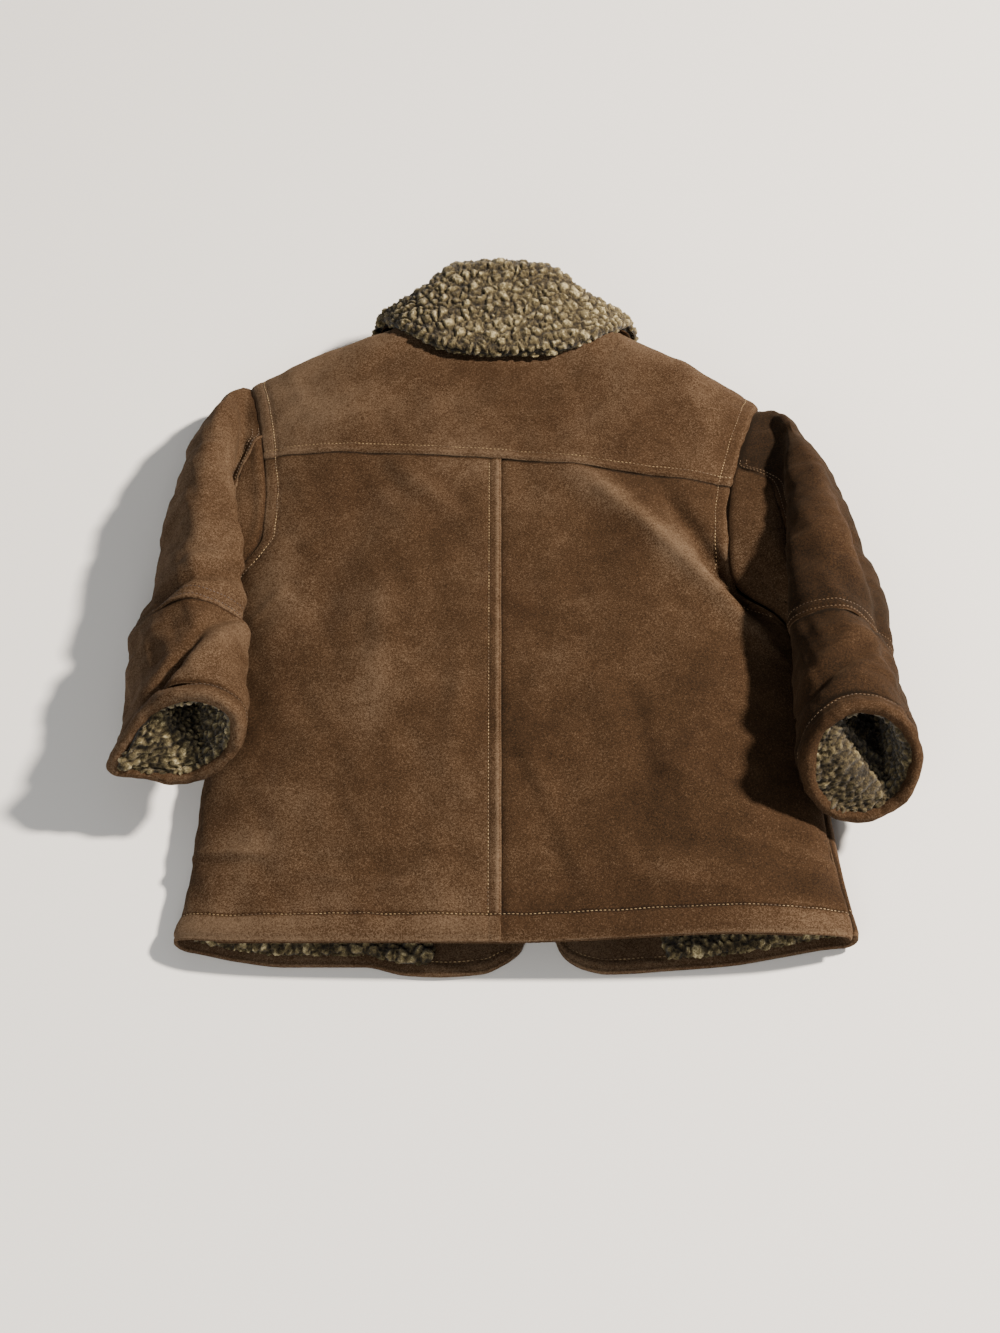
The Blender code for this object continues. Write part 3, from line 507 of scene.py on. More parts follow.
def suede_finish(name, dark, middle, light):
    """Suede: split hide sanded to a nap, matt and mottled where it has been brushed.

    Edges are paler by wear and painted highlight, and painted shade darkens seams, tucks and
    the right-hand pieces; the nap shows as fine flecks."""
    material = bpy.data.materials.new(name)
    material.use_nodes = True
    tree = material.node_tree
    shader = tree.nodes["Principled BSDF"]
    place = tree.nodes.new("ShaderNodeTexCoord").outputs["Object"]
    clouds = node(tree, "ShaderNodeTexNoise", None, {"Vector": place}, Scale=1000 / CLOUDS,
                  Detail=3.0, Roughness=0.5, Distortion=0.4)
    brushed = node(tree, "ShaderNodeTexNoise", None, {"Vector": place}, Scale=1000 / BRUSHED,
                   Detail=4.0, Roughness=0.65, Distortion=1.2)
    nap = node(tree, "ShaderNodeTexNoise", None, {"Vector": place}, Scale=1000 / NAP,
               Detail=3.0, Roughness=0.75)
    grain = node(tree, "ShaderNodeTexNoise", None, {"Vector": place}, Scale=1000 / GRAIN,
                 Detail=3.0, Roughness=0.7)
    worn = node(tree, "ShaderNodeAttribute", {"attribute_name": "worn"})
    dull = node(tree, "ShaderNodeAttribute", {"attribute_name": "dull"})

    # The noises are centred on 0.5, so half of each one's gain comes off the middle tone.
    noises = ((clouds, 0.62), (brushed, 0.3), (nap, 1.5), (grain, 1.0))
    tone = 0.5 - sum(gain for _, gain in noises) / 2
    # Wear with painted highlight makes the tone paler; painted shade makes it darker, and below zero it
    # paints light.
    for source, gain in (*noises, (worn, 0.75), (dull, -0.75)):
        tone = node(tree, "ShaderNodeMath", {"operation": "MULTIPLY_ADD"},
                    {0: source.outputs["Fac"], 1: gain, 2: tone}).outputs[0]
    ramp = node(tree, "ShaderNodeValToRGB", None, {"Fac": tone})
    ramp.color_ramp.elements[0].position = 0.0
    ramp.color_ramp.elements[0].color = linear(dark)
    ramp.color_ramp.elements[1].position = 1.0
    ramp.color_ramp.elements[1].color = linear(light)
    ramp.color_ramp.elements.new(0.5).color = linear(middle)
    tree.links.new(ramp.outputs["Color"], shader.inputs["Base Color"])
    shader.inputs["Roughness"].default_value = 0.95
    shader.inputs["Specular IOR Level"].default_value = 0.1
    shader.inputs["Sheen Weight"].default_value = 0.06
    shader.inputs["Sheen Roughness"].default_value = 0.45
    shader.inputs["Sheen Tint"].default_value = linear("#c8a27a")
    height = node(tree, "ShaderNodeMath", {"operation": "MULTIPLY_ADD"},
                  {0: grain.outputs["Fac"], 1: 0.8, 2: nap.outputs["Fac"]})
    bump = node(tree, "ShaderNodeBump", None, {"Height": height.outputs[0]}, Strength=0.35,
                Distance=0.0008)
    tree.links.new(bump.outputs["Normal"], shader.inputs["Normal"])
    return material


BROWN_SUEDE = suede_finish("brown napped suede", "#160f08", "#372617", "#625140")
HEM_STEPS = (0.0, 0.5, 1.2, 2.4, 4.0, 7.0, 10.0, 13.0, 15.0, 16.0, 16.6, 17.2, 18.4, 21.0)
LAP_STEPS = (0.0, 0.5, 1.2, 2.2, 3.4, 4.8, 5.8, 6.5, 7.2, 8.4, 10.5)
SEAM_STEPS = (0.0, 0.6, 1.4, 2.6, 4.4, 7.0, 10.0)
HEM_STITCH = 16.6
CENTRE_STITCH = 7.2
ARMHOLE_STITCH = 8.4
UNDER_YOKE = 3.0
STITCH_LINES = {"body": [], "sleeves": [], "dusty": []}
# Shallow creases of the lower back, on the left and on the right.
CREASES = table(
    "x0   y0   x1   y1   width height",
    (78, 326, 155, 240, 5, 1.4),
    (136, 286, 166, 246, 7, -5.5),
    (104, 332, 126, 287, 5, 1.8),
    (81, 178, 91, 116, 8, -2.2),
    (103, 119, 132, 100, 6, 1.5),
    (17, 123, 46, 52, 6, 1.2),
    (8, 128, 34, 62, 8, -0.8),
    (95, 37, 132, 33, 3, 1.4),
    (100, 43, 140, 40, 5, -1.4),
    (163, 62, 212, 56, 4, 1.4),
    (160, 70, 206, 66, 6, -1.2),
    (126, 84, 180, 60, 9, -1.0),
    (40, 200, 70, 150, 12, 1.2),
    (-75, 248, -79, 182, 10, 1.8),
    (-68, 361, -22, 312, 7, 1.4),
    (-76, 350, -34, 300, 8, -1.2),
    (-160, 239, -140, 261, 4, 1.4),
    (-129, 267, -111, 267, 3, 1.0),
    (-25, 189, -32, 119, 8, 1.4),
    (-184, 67, -151, 61, 3, 1.8),
    (-180, 59, -146, 54, 5, -1.8),
    (-112, 44, -67, 38, 3, 1.6),
    (-115, 53, -72, 51, 5, -1.7),
    (-67, 35, -43, 46, 3, 1.5),
    (-150, 190, -120, 140, 10, 0.9),
)


def keep_line(grid, turned, index, axis, start=0, stop=None, group="body"):
    """Remember a row or column of a finished grid as a line of topstitching."""
    line = grid[index] if axis == 0 else grid[:, index]
    way = turned[index] if axis == 0 else turned[:, index]
    STITCH_LINES[group].append((line[start:stop] + way[start:stop] * 0.1, way[start:stop]))


def panel_grid(side, rows, columns, low, high, begin, end):
    """Grid over the skin: rows between two edges on the plan, columns between two marks."""
    share_r, offset_r = (v[:, None] for v in rows)
    share_c, offset_c = (v[None, :] for v in columns)
    x = np.zeros((len(rows[0]), len(columns[0]))) + SIGN[side] * 90.0
    for _ in range(12):
        first = low(x)
        last = high(x)
        y = first + (last - first) * share_r + offset_r
        start = begin(y)
        stop = end(y)
        mark = start + (stop - start) * share_c + offset_c * np.sign(stop - start)
        grid = on_skin(side, y, mark)
        x = 0.5 * x + 0.5 * grid[..., 0]
    grid[..., 1] = y
    return grid, y, y - first, last - y, np.abs(mark - start), np.abs(stop - mark)


for side in ("left", "right"):
    rows = stops(HEM_STEPS, 140, SEAM_STEPS)
    columns = stops(LAP_STEPS, 68, LAP_STEPS)
    grid, y, hem, top, middle, outer = panel_grid(
        side, rows, columns,
        lambda x: read(HEM_BACK, "y", x),
        lambda x: read(YOKE_SEAM, "y", x) + UNDER_YOKE,
        lambda y: edge_mark(side, y, "centre"),
        lambda y: edge_mark(side, y, "back"),
    )
    turned = normals(grid)
    turned *= np.sign(turned[..., 2].mean())
    lap = side == "left"
    rise = unevenness(grid) * ease(hem / 20.0) + ridges(CREASES, grid[..., 0], grid[..., 1])
    rise += groove(hem - HEM_STITCH) + 0.5 * np.exp(-((hem - 9.0) / 6.0) ** 2)
    rise += pucker(grid[..., 0], hem - HEM_STITCH, 9.0, 0.3)
    rise -= 1.6 * np.exp(-(hem / 2.2) ** 2)
    rise -= 2.0 * np.exp(-(top / 5.0) ** 2)
    at_arm = ease((y - ARMHOLE[side]["y"][0]) / 12.0)
    above_hem = ease((hem - 15.0) / 3.0)
    if lap:
        rise += above_hem * 0.5 * (ease((8.0 - middle) / 4.0) + np.exp(-((middle - 1.6) / 1.3) ** 2))
        rise += groove(middle - CENTRE_STITCH, 0.35) + pucker(y, middle - 7.0, 8.0, 0.22)
    else:
        rise -= (0.3 + 0.7 * above_hem) * np.exp(-(middle / 3.0) ** 2)
    rise += at_arm * 0.45 * ease((7.5 - outer) / 4.0) * ease(outer / 1.6 + 0.2)
    rise += at_arm * (groove(outer - ARMHOLE_STITCH) + pucker(y, outer - ARMHOLE_STITCH, 8.0, 0.3))
    rise -= (1 - at_arm) * 1.5 * np.exp(-(outer / 1.8) ** 2)
    grid = grid + turned * rise[..., None]
    # Painted shade along the hem stitching, under the yoke's lapped edge and, on the right panel, under
    # the left panel's lap.
    seam = np.exp(-(hem - HEM_STITCH) ** 2) + np.exp(-(top - UNDER_YOKE) ** 2 / 4.0)
    dull = np.clip(0.5 * seam + 0.8 * np.exp(-((top - UNDER_YOKE) / 2.2) ** 2), 0, 1)
    if not lap:
        dull += 0.8 * above_hem * np.exp(-(middle / 1.3) ** 2)
    # Painted shade over the right panel, more towards the hem; painted light over the lower left panel.
    if side == "right":
        dull += 0.06 + 0.13 * ease((260.0 - y) / 140.0)
    else:
        dull -= 0.02 + 0.05 * ease((160.0 - y) / 120.0)
    # Wear at the hem and its outer corners; wear and painted highlight on the lap's edge and the
    # armhole edge; painted highlight on the tops of creases and folds.
    worn = 0.15 * np.exp(-(hem / 2.0) ** 2) + 0.12 * ease((17.0 - hem) / 3.0)
    worn += 0.35 * ease((30.0 - hem) / 20.0) * ease((np.abs(grid[..., 0]) - 110.0) / 80.0)
    worn += 0.05 * ridges(CREASES, grid[..., 0], grid[..., 1]).clip(0)
    if lap:
        worn += 0.5 * above_hem * np.exp(-((middle - 1.6) / 1.0) ** 2)
    worn += at_arm * 0.2 * np.exp(-((outer - 1.6) / 1.2) ** 2)
    worn += 0.06 * ridges(FOLDS, grid[..., 0], grid[..., 1]).clip(0)
    back = piece(f"back_{side}_suede", grid, turned, SUEDE, BROWN_SUEDE,
                 worn=(worn, 0.3), dull=(dull, 0.0))
    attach(back, "root")
    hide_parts(f"back_{side}")
    hem_row = HEM_STEPS.index(HEM_STITCH)
    keep_line(grid, turned, hem_row, 0)
    if lap:
        keep_line(grid, turned, LAP_STEPS.index(CENTRE_STITCH), 1, hem_row + 2, -6)
    arm_column = -LAP_STEPS.index(ARMHOLE_STITCH) - 1
    arm_rows = np.nonzero(y[:, arm_column] > ARMHOLE[side]["y"][0] + 6.0)[0]
    keep_line(grid, turned, arm_column, 1, arm_rows[0], -4)

# ---------------------------------------------------------------------------------------
# Yoke: one piece of suede across both shoulders. Its lower edge is turned, lapped over the
# back panels and stitched; it is cut out at the neck and folds over the shoulders.
# ---------------------------------------------------------------------------------------
NECKLINE = table(
    "x     y",
    (-75, 501),
    (-62, 490),
    (-40, 480),
    (0, 476),
    (42, 479),
    (66, 488),
    (82, 499),
)
SHOULDER_SEAM_BACK = 15.0
YOKE_LAP = 0.6
YOKE_STITCH = 6.5
NECK_TURN = 9.0
YOKE_CREASES = table(
    "x0   y0   x1   y1   width height",
    (-66, 474, -96, 452, 7, 0.8),
    (58, 470, 84, 440, 6, 1.0),
    (40, 466, 50, 430, 6, -0.7),
    (-150, 430, -110, 400, 12, 0.8),
    (112, 440, 140, 400, 12, 0.8),
    (-20, 440, 30, 420, 16, -0.8),
)


def armhole_x(side, y):
    """Distance from the centre back of the armhole's back edge."""
    return read(BODY, side, y) - read(ARMHOLE[side], "back", y)


def resample(line, at):
    """Points of a line where its running length has the values at."""
    marks = lengths(line)
    return np.stack([np.interp(at, marks, line[:, k]) for k in range(3)], axis=1)


rows = stops(LAP_STEPS, 52, (0.0, 0.6, 1.4, 3.0, 6.0))
columns = stops(LAP_STEPS, 112, LAP_STEPS)
lines = []
for share, offset in zip(*columns):
    def across(y):
        """Place across the back of this column at stations."""
        return -armhole_x("left", y) * (1 - share) + armhole_x("right", y) * share + offset

    seam = float(read(YOKE_SEAM, "y", across(360.0))) - YOKE_LAP
    corner = NECKLINE["x"][0] if across(450.0) < 0 else NECKLINE["x"][-1]
    past = abs(across(450.0)) - abs(corner)
    top = float(read(NECKLINE if past < 0 else SHOULDER, "y", across(460.0)))
    for _ in range(4 if past >= 0 else 0):
        top = float(read(SHOULDER, "y", across(top - SHOULDER_SEAM_BACK)))
    y = seam + (top - seam) * (1 - (1 - np.linspace(0.0, 1.0, 120)) ** 2)
    line = np.stack([across(y), y, back_height(across(y), y)], axis=1)
    edge = line[-1, 2]
    low = float(ground(line[-1, 0], top - SHOULDER_SEAM_BACK))
    a = np.linspace(0.0, math.pi / 2 * float(ease(past / NECK_TURN)), 30)[1:]
    if past > 0:
        y = top - SHOULDER_SEAM_BACK * (1 - np.cos(a))
        over = np.stack([across(y), y, edge - (edge - low) * np.sin(a)], axis=1)
        line = np.vstack([line, over])
    lines.append(resample(line, lengths(line)[-1] * rows[0] + rows[1]))
grid = np.stack(lines, axis=1)
turned = normals(grid)
turned *= np.sign(turned[10, :, 2].mean())
run = np.linalg.norm(np.diff(grid, axis=0), axis=2)
run = np.vstack([np.zeros((1, run.shape[1])), np.cumsum(run, axis=0)])
side_gap = np.minimum(
    np.abs(grid[..., 0] + armhole_x("left", grid[..., 1])),
    np.abs(grid[..., 0] - armhole_x("right", grid[..., 1])),
)
rise = unevenness(grid) * ease(run / 20.0) + ridges(YOKE_CREASES, grid[..., 0], grid[..., 1])
rise += 0.9 * ease((8.5 - run) / 5.0) * ease(run / 1.6 + 0.3)
rise += groove(run - YOKE_STITCH) + pucker(grid[..., 0], run - YOKE_STITCH, 8.0, 0.25)
rise += 0.45 * ease((7.5 - side_gap) / 4.0) * ease(side_gap / 1.6 + 0.2)
rise += groove(side_gap - ARMHOLE_STITCH)
rise += pucker(grid[..., 1], side_gap - ARMHOLE_STITCH, 8.0, 0.25)
YOKE_GRID = grid
YOKE_TURNED = turned
grid = keep_above(grid + turned * rise[..., None])
# Wear and painted highlight on the lapped lower edge and the armhole edges; painted highlight over the
# left shoulder and along the top of the yoke, where the light falls.
worn = 0.1 * np.exp(-((run - 1.6) / 1.3) ** 2) + 0.2 * np.exp(-((side_gap - 1.6) / 1.2) ** 2) + 0.05
worn += 0.30 * ease((-grid[..., 0] - 60.0) / 90.0) + 0.16 * ease((grid[..., 1] - 440.0) / 40.0)
yoke = piece("yoke_suede", grid, turned, SUEDE, BROWN_SUEDE, worn=(worn, 0.3), dull=(0.0, 0.0))
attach(yoke, "root")
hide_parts("back_yoke")
keep_line(grid, turned, LAP_STEPS.index(YOKE_STITCH), 0, 3, -3)
for column in (LAP_STEPS.index(ARMHOLE_STITCH), -LAP_STEPS.index(ARMHOLE_STITCH) - 1):
    keep_line(grid, turned, column, 1, 3, -10)

# ---------------------------------------------------------------------------------------
# Upper sleeves: a wide top sleeve set into the armhole under the body's stitched edge, and
# a narrow under sleeve; the seam at the elbow is stitched twice. They lie in soft folds.
# ---------------------------------------------------------------------------------------
TOP_SLEEVE = {
    "left": table(
        "y sx sz vx vz fx fz cx cz ox oz gx gz ex ez",
        (456.5, 169.5, 19, 170, 19.5, 170.5, 19.5, 171, 18, 171.5, 14, 171, 9, 169, 5),
        (454, 171.8, 23, 172.8, 23.5, 173.8, 24, 174.8, 23, 176, 18, 175, 10, 171, 5),
        (446, 170.5, 30, 174, 27, 178, 29, 182, 31, 188, 24, 184, 9, 170, 7),
        (430, 168.5, 35, 175, 29, 181, 37, 187, 42, 195, 29, 188, 5, 165.5, 4),
        (405, 163.5, 38, 174, 31, 180, 44, 191, 51, 203, 31, 194, 2, 160, 1.5),
        (385, 168.5, 36, 176, 33, 178.5, 47, 193, 56, 210, 32, 199, 0.5, 177, 0.2),
        (366, 174, 36, 180, 33, 177.5, 50, 195, 60, 213, 32, 203, 0, 184, 0),
        (345, 178, 36, 182, 34, 176, 52, 196, 63, 217, 32, 206, 0, 187, 0),
        (315, 180, 36, 181, 36, 172.5, 54, 197, 66, 222, 32, 210, 0, 186, 0),
        (290, 178, 37, 177, 40, 169, 55, 197, 69, 224, 33, 212, 0, 191, 0),
        (262, 173, 37, 171, 42, 167, 54, 196, 71, 226, 34, 215, 0, 196, 0),
        (228, 170, 37, 167, 43, 165, 52, 197, 73, 237, 35, 222, 0, 204, 0),
    ),
    "right": table(
        "y sx sz vx vz fx fz cx cz ox oz gx gz ex ez",
        (441, 176, 14, 177, 15, 178.5, 15.5, 180, 14.5, 182, 13, 180, 10, 176, 8),
        (425, 175.5, 30, 181, 29, 185, 30, 189, 32, 194, 25, 189, 7, 171, 5),
        (410, 170, 36, 184, 34, 189.5, 42, 195, 43, 202, 29, 195, 4, 166, 3),
        (391, 164.5, 39, 186.5, 41, 191.5, 50, 198, 52, 207, 31, 200, 1.5, 162, 1),
        (371, 161, 41, 187, 44, 190.5, 57, 202, 60, 216, 32, 206, 0.3, 163, 0.2),
        (349, 180, 45, 187.5, 47, 188.5, 60, 206, 66, 228, 33, 216, 0, 178, 0),
        (325, 184, 47, 188, 50, 187.5, 63, 208, 72, 234, 34, 221, 0, 190, 0),
        (298, 188, 46, 189.5, 49, 186.5, 66, 210, 76, 238, 35, 225, 0, 200, 0),
        (268, 190, 42, 189.5, 45, 185.5, 71, 213, 80, 246, 37, 231, 0, 208, 0),
        (238, 190, 37, 187, 43, 185, 72, 215, 83, 250, 38, 234, 0, 214, 0),
        (210, 189, 37, 186, 43, 184.5, 71, 216, 83, 249, 38, 234, 0, 217, 0),
    ),
}
UNDER_BACK_SEAM = {"left": 405.0, "right": 371.0}
UNDER_FRONT_SEAM = {"left": 400.0, "right": 371.0}
ELBOW_INNER = {
    "left": table("row x z", (0, 170, 37), (1, 180, 30), (2, 189, 24), (3, 193, 9), (4, 204, 0)),
    "right": table("row x z", (0, 189, 37), (1, 197, 29), (2, 203, 20), (3, 206, 8), (4, 217, 0)),
}
SLEEVE_TUCK = 0.6
LAYER_GAP = 0.4
SLEEVE_STEPS = (0.0, 0.6, 1.4, 2.2, 3.4, 5.0, 6.4)
ELBOW_STEPS = (0.0, 0.6, 1.4, 2.2, 3.4, 5.0, 6.5, 8.0, 10.0)
UNDER_STEPS = (0.0, 0.8, 2.0, 4.0)
SLEEVE_STITCHES = (2.2, 6.4)
ELBOW_STITCHES = (2.2, 8.0)
# Places in the hollow of the arm that the top and the under sleeve face away from.
TOP_HOLLOW = (196.0, 330.0, 22.0)
UNDER_HOLLOW = (205.0, 300.0, 25.0)
UNDER_SWELL = {"left": 4.0, "right": 9.0}
# Creases of the sleeves over the pile, as ridges and troughs seen from above.
SLEEVE_CREASES = table(
    "x0   y0   x1   y1   width height",
    (-206, 396, -192, 330, 9, 1.6),
    (-198, 380, -182, 300, 7, -1.8),
    (-214, 330, -186, 292, 8, 1.5),
    (-226, 300, -190, 268, 7, -1.8),
    (-176, 270, -222, 250, 7, 2.2),
    (-172, 258, -218, 236, 5, -2.6),
    (-165, 247, -212, 230, 7, 2.2),
    (-234, 268, -214, 240, 7, -2.4),
    (194, 400, 200, 330, 8, -1.4),
    (208, 380, 214, 300, 10, 1.6),
    (228, 350, 204, 296, 8, -2.2),
    (228, 300, 243, 212, 5, -4.2),
    (218, 300, 233, 222, 7, 2.6),
    (192, 300, 222, 262, 9, 1.6),
    (190, 262, 214, 240, 7, -1.4),
)


def rounded(points, steps=16):
    """A smooth line through a few points."""
    ends = np.vstack([2 * points[0] - points[1], points, 2 * points[-1] - points[-2]])
    t = (np.arange(steps) / steps)[:, None]
    parts = []
    for a, b, c, d in zip(ends, ends[1:], ends[2:], ends[3:]):
        bend = (2 * a - 5 * b + 4 * c - d) * t * t + (3 * b - a - 3 * c + d) * t ** 3
        parts.append(0.5 * (2 * b + (c - a) * t + bend))
    return np.vstack(parts + [points[-1:]])


def front_start(side, y):
    """Mark at which a front begins: side seam, or the front half of the armhole."""
    armhole = -read(ARMHOLE[side], "front", y) * 1.15 - 0.4
    return np.where(y <= ARMHOLE[side]["y"][0], read(SIDE_SEAM[side], "over", y) - 0.6, armhole)


def armhole_point(side, y, which):
    """Edge of the sleeve in its armhole, tucked under the back or the front."""
    y = np.atleast_1d(np.asarray(y, float))
    if which == "back":
        mark = edge_mark(side, y, "back") + SLEEVE_TUCK
    else:
        mark = front_start(side, y) - SLEEVE_TUCK
    return on_skin(side, y, mark)


def sleeve_line(side, y):
    """Top sleeve at a station, from its back seam over the arm to its front seam."""
    rows = TOP_SLEEVE[side]
    line = np.array([
        (SIGN[side] * float(read(rows, a + "x", y)), y, float(read(rows, a + "z", y)))
        for a in "svfcoge"
    ])
    back = float(ease((y - UNDER_BACK_SEAM[side] + 10.0) / 10.0))
    front = float(ease((y - UNDER_FRONT_SEAM[side] + 10.0) / 10.0))
    line[0] = line[0] * (1 - back) + armhole_point(side, y, "back")[0] * back
    line[-1] = line[-1] * (1 - front) + armhole_point(side, y, "front")[0] * front
    line = rounded(line)
    line[:, 2] = np.maximum(line[:, 2], 0.0)
    return line


def walk(grid, axis, end=False):
    """Running distance along the rows or columns of a grid, from one end."""
    step = np.linalg.norm(np.diff(grid, axis=axis), axis=2)
    zero = np.zeros((1, grid.shape[1])) if axis == 0 else np.zeros((grid.shape[0], 1))
    total = np.concatenate([zero, np.cumsum(step, axis=axis)], axis=axis)
    if end:
        total = (total[-1:] if axis == 0 else total[:, -1:]) - total
    return total


def facing_out(grid, centre):
    """Unit normals of a grid that point away from points in the middle of its hollow."""
    turned = normals(grid)
    away = np.sum(turned * (grid - centre), axis=2)
    return turned * np.sign(away.sum())


for side in ("left", "right"):
    sign = SIGN[side]
    high = TOP_SLEEVE[side]["y"][0]
    low = TOP_SLEEVE[side]["y"][-1]
    share, offset = stops((0.0, 0.6, 1.6, 3.0, 5.0), 74, ELBOW_STEPS)
    stations = high + (low - high) * share - offset
    columns = stops(SLEEVE_STEPS, 72, SLEEVE_STEPS)
    lines = []
    for y in stations:
        line = sleeve_line(side, float(y))
        lines.append(resample(line, lengths(line)[-1] * columns[0] + columns[1]))
    grid = np.stack(lines)
    turned = facing_out(grid, TOP_HOLLOW * np.array((sign, 1, 1)))
    from_seam = walk(grid, 1)
    elbow = walk(grid, 0, end=True)
    y = grid[..., 1]
    free = ease((UNDER_BACK_SEAM[side] - y) / 14.0)
    rise = unevenness(grid * 1.3) * 1.25 * ease(from_seam / 12.0)
    rise += ridges(SLEEVE_CREASES, grid[..., 0], y) * ease(from_seam / 10.0)
    rise -= (1 - free) * 0.9 * np.exp(-((from_seam / 2.2) ** 2))
    rise += free * 0.5 * ease((6.4 - from_seam) / 3.5) * ease(from_seam / 1.2 + 0.3)
    rise += free * (groove(from_seam - SLEEVE_STITCHES[0], 0.4) + pucker(y, from_seam - 3.0, 6.0, 0.25))
    rise += 0.25 * ease((9.0 - elbow) / 3.5) * ease(elbow / 1.2 + 0.3)
    rise += groove(elbow - ELBOW_STITCHES[0], 0.5) + groove(elbow - ELBOW_STITCHES[1], 0.4)
    rise += pucker(from_seam, elbow - 5.0, 9.0, 0.35)
    grid = keep_above(grid + turned * rise[..., None])
    # Wear and painted highlight at the elbow edge, the free seam edge and the crease tops.
    worn = 0.2 * np.exp(-((elbow - 1.0) / 1.6) ** 2)
    worn += free * 0.2 * np.exp(-((from_seam - 1.0) / 1.3) ** 2)
    worn += 0.05 * ridges(SLEEVE_CREASES, grid[..., 0], y).clip(0)
    # Painted shade where the sleeve tucks under the body's edge and over the whole right sleeve;
    # painted light over the left one.
    dull = (1 - free) * 0.6 * np.exp(-((from_seam / 3.0) ** 2))
    dull += 0.42 if side == "right" else -0.12
    top_sleeve = piece(f"top_sleeve_{side}_suede", grid, turned, SUEDE, BROWN_SUEDE,
                       worn=(worn, 0.2), dull=(dull, 0.0))
    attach(top_sleeve, "root")
    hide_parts(f"top_sleeve_{side}")
    free_rows = np.nonzero(stations < UNDER_BACK_SEAM[side] + 4.0)[0]
    for step in SLEEVE_STITCHES:
        keep_line(grid, turned, SLEEVE_STEPS.index(step), 1, free_rows[0], -3, "sleeves")
    for step in ELBOW_STITCHES:
        keep_line(grid, turned, -ELBOW_STEPS.index(step) - 1, 0, 2, -2,
                  "sleeves" if side == "right" else "dusty")

    # The under sleeve is stretched between the armhole, both sleeve seams and the elbow.
    first = UNDER_BACK_SEAM[side] - 1.0
    last = UNDER_FRONT_SEAM[side] - 1.0
    under = ARMHOLE[side]["y"][0]
    t = np.linspace(0.0, 1.0, 60)
    arm = np.vstack([
        armhole_point(side, first + (under - first) * (1 - (1 - t) ** 2), "back"),
        armhole_point(side, under + (last - under) * t[1:] ** 2, "front"),
    ])
    inner = ELBOW_INNER[side]
    elbow = rounded(np.stack([sign * inner["x"], 0 * inner["x"] + low, inner["z"]], axis=1))
    u = stops(UNDER_STEPS, 46, UNDER_STEPS)
    v = stops(UNDER_STEPS, 44, (0.0, 1.0, 3.0))
    arm = resample(arm, lengths(arm)[-1] * u[0] + u[1])
    elbow = resample(elbow, lengths(elbow)[-1] * u[0] + u[1])
    seams = []
    for start, end, beside in ((first, 0, 1), (last, -1, -2)):
        lines = np.stack([sleeve_line(side, float(y)) for y in np.linspace(start, low, 60)])
        seam = lines[:, end]
        out = seam - lines[:, beside]
        seam = seam + out / np.linalg.norm(out, axis=1, keepdims=True) * LAYER_GAP
        seam = resample(seam, lengths(seam)[-1] * v[0] + v[1])
        fade = np.linspace(1.0, 0.0, len(seam))[:, None] ** 4
        seams.append(seam + (arm[end] - seam[0]) * fade)
    part = np.linspace(0.0, 1.0, len(arm))[:, None]
    elbow = elbow + (seams[0][-1] - elbow[0]) * (1 - part) ** 3 + (seams[1][-1] - elbow[-1]) * part ** 3
    p = (lengths(arm) / lengths(arm)[-1])[None, :, None]
    q = (lengths(seams[0]) / lengths(seams[0])[-1])[:, None, None]
    corners = (arm[0] * (1 - p) + arm[-1] * p) * (1 - q) + (elbow[0] * (1 - p) + elbow[-1] * p) * q
    swept = seams[0][:, None, :] * (1 - p) + seams[1][:, None, :] * p
    grid = arm[None] * (1 - q) + elbow[None] * q + swept - corners
    turned = facing_out(grid, UNDER_HOLLOW * np.array((sign, 1, 1)))
    near_arm = walk(grid, 0)
    near_seam = walk(grid, 1)
    rise = unevenness(grid * 1.3) * ease(near_arm / 12.0) - 0.9 * np.exp(-((near_arm / 2.2) ** 2))
    rise -= 0.5 * np.exp(-((near_seam / 2.0) ** 2))
    swell = np.exp(-(((p[..., 0] - 0.2) / 0.16) ** 2)) * np.sin(math.pi * q[..., 0]) ** 0.7
    rise += UNDER_SWELL[side] * swell
    grid = keep_above(grid + turned * rise[..., None], 0.5)
    # Painted shade where the under sleeve tucks under the armhole's edge and along its seams.
    dull = 0.6 * np.exp(-((near_arm / 3.0) ** 2)) + 0.4 * np.exp(-((near_seam / 2.0) ** 2))
    under_sleeve = piece(f"under_sleeve_{side}_suede", grid, turned, SUEDE, BROWN_SUEDE,
                         worn=(0.0, 0.0), dull=(dull, 0.0))
    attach(under_sleeve, "root")
    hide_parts(f"under_sleeve_{side}")

# ---------------------------------------------------------------------------------------
# Forearms and cuffs: each forearm is one tube of suede from the elbow seam to a thick
# cuff, where the suede is rolled in over the pile and stitched 14 mm back from the rim.
# ---------------------------------------------------------------------------------------
CUFF_WALL = 8.5
CUFF_DEPTH = 16.0
CUFF = {
    "left": {"x": 196.0, "y": 120.0, "z": 66.0, "wide": 43.0, "high": 30.0,
             "rise": 32.0, "turn": 6.0, "roll": 30.0, "point": 0.16, "taper": 0.45},
    "right": {"x": 220.0, "y": 103.0, "z": 65.5, "wide": 37.5, "high": 40.5,
              "rise": 32.0, "turn": 6.0, "roll": 0.0, "point": 0.03, "taper": 0.0},
}
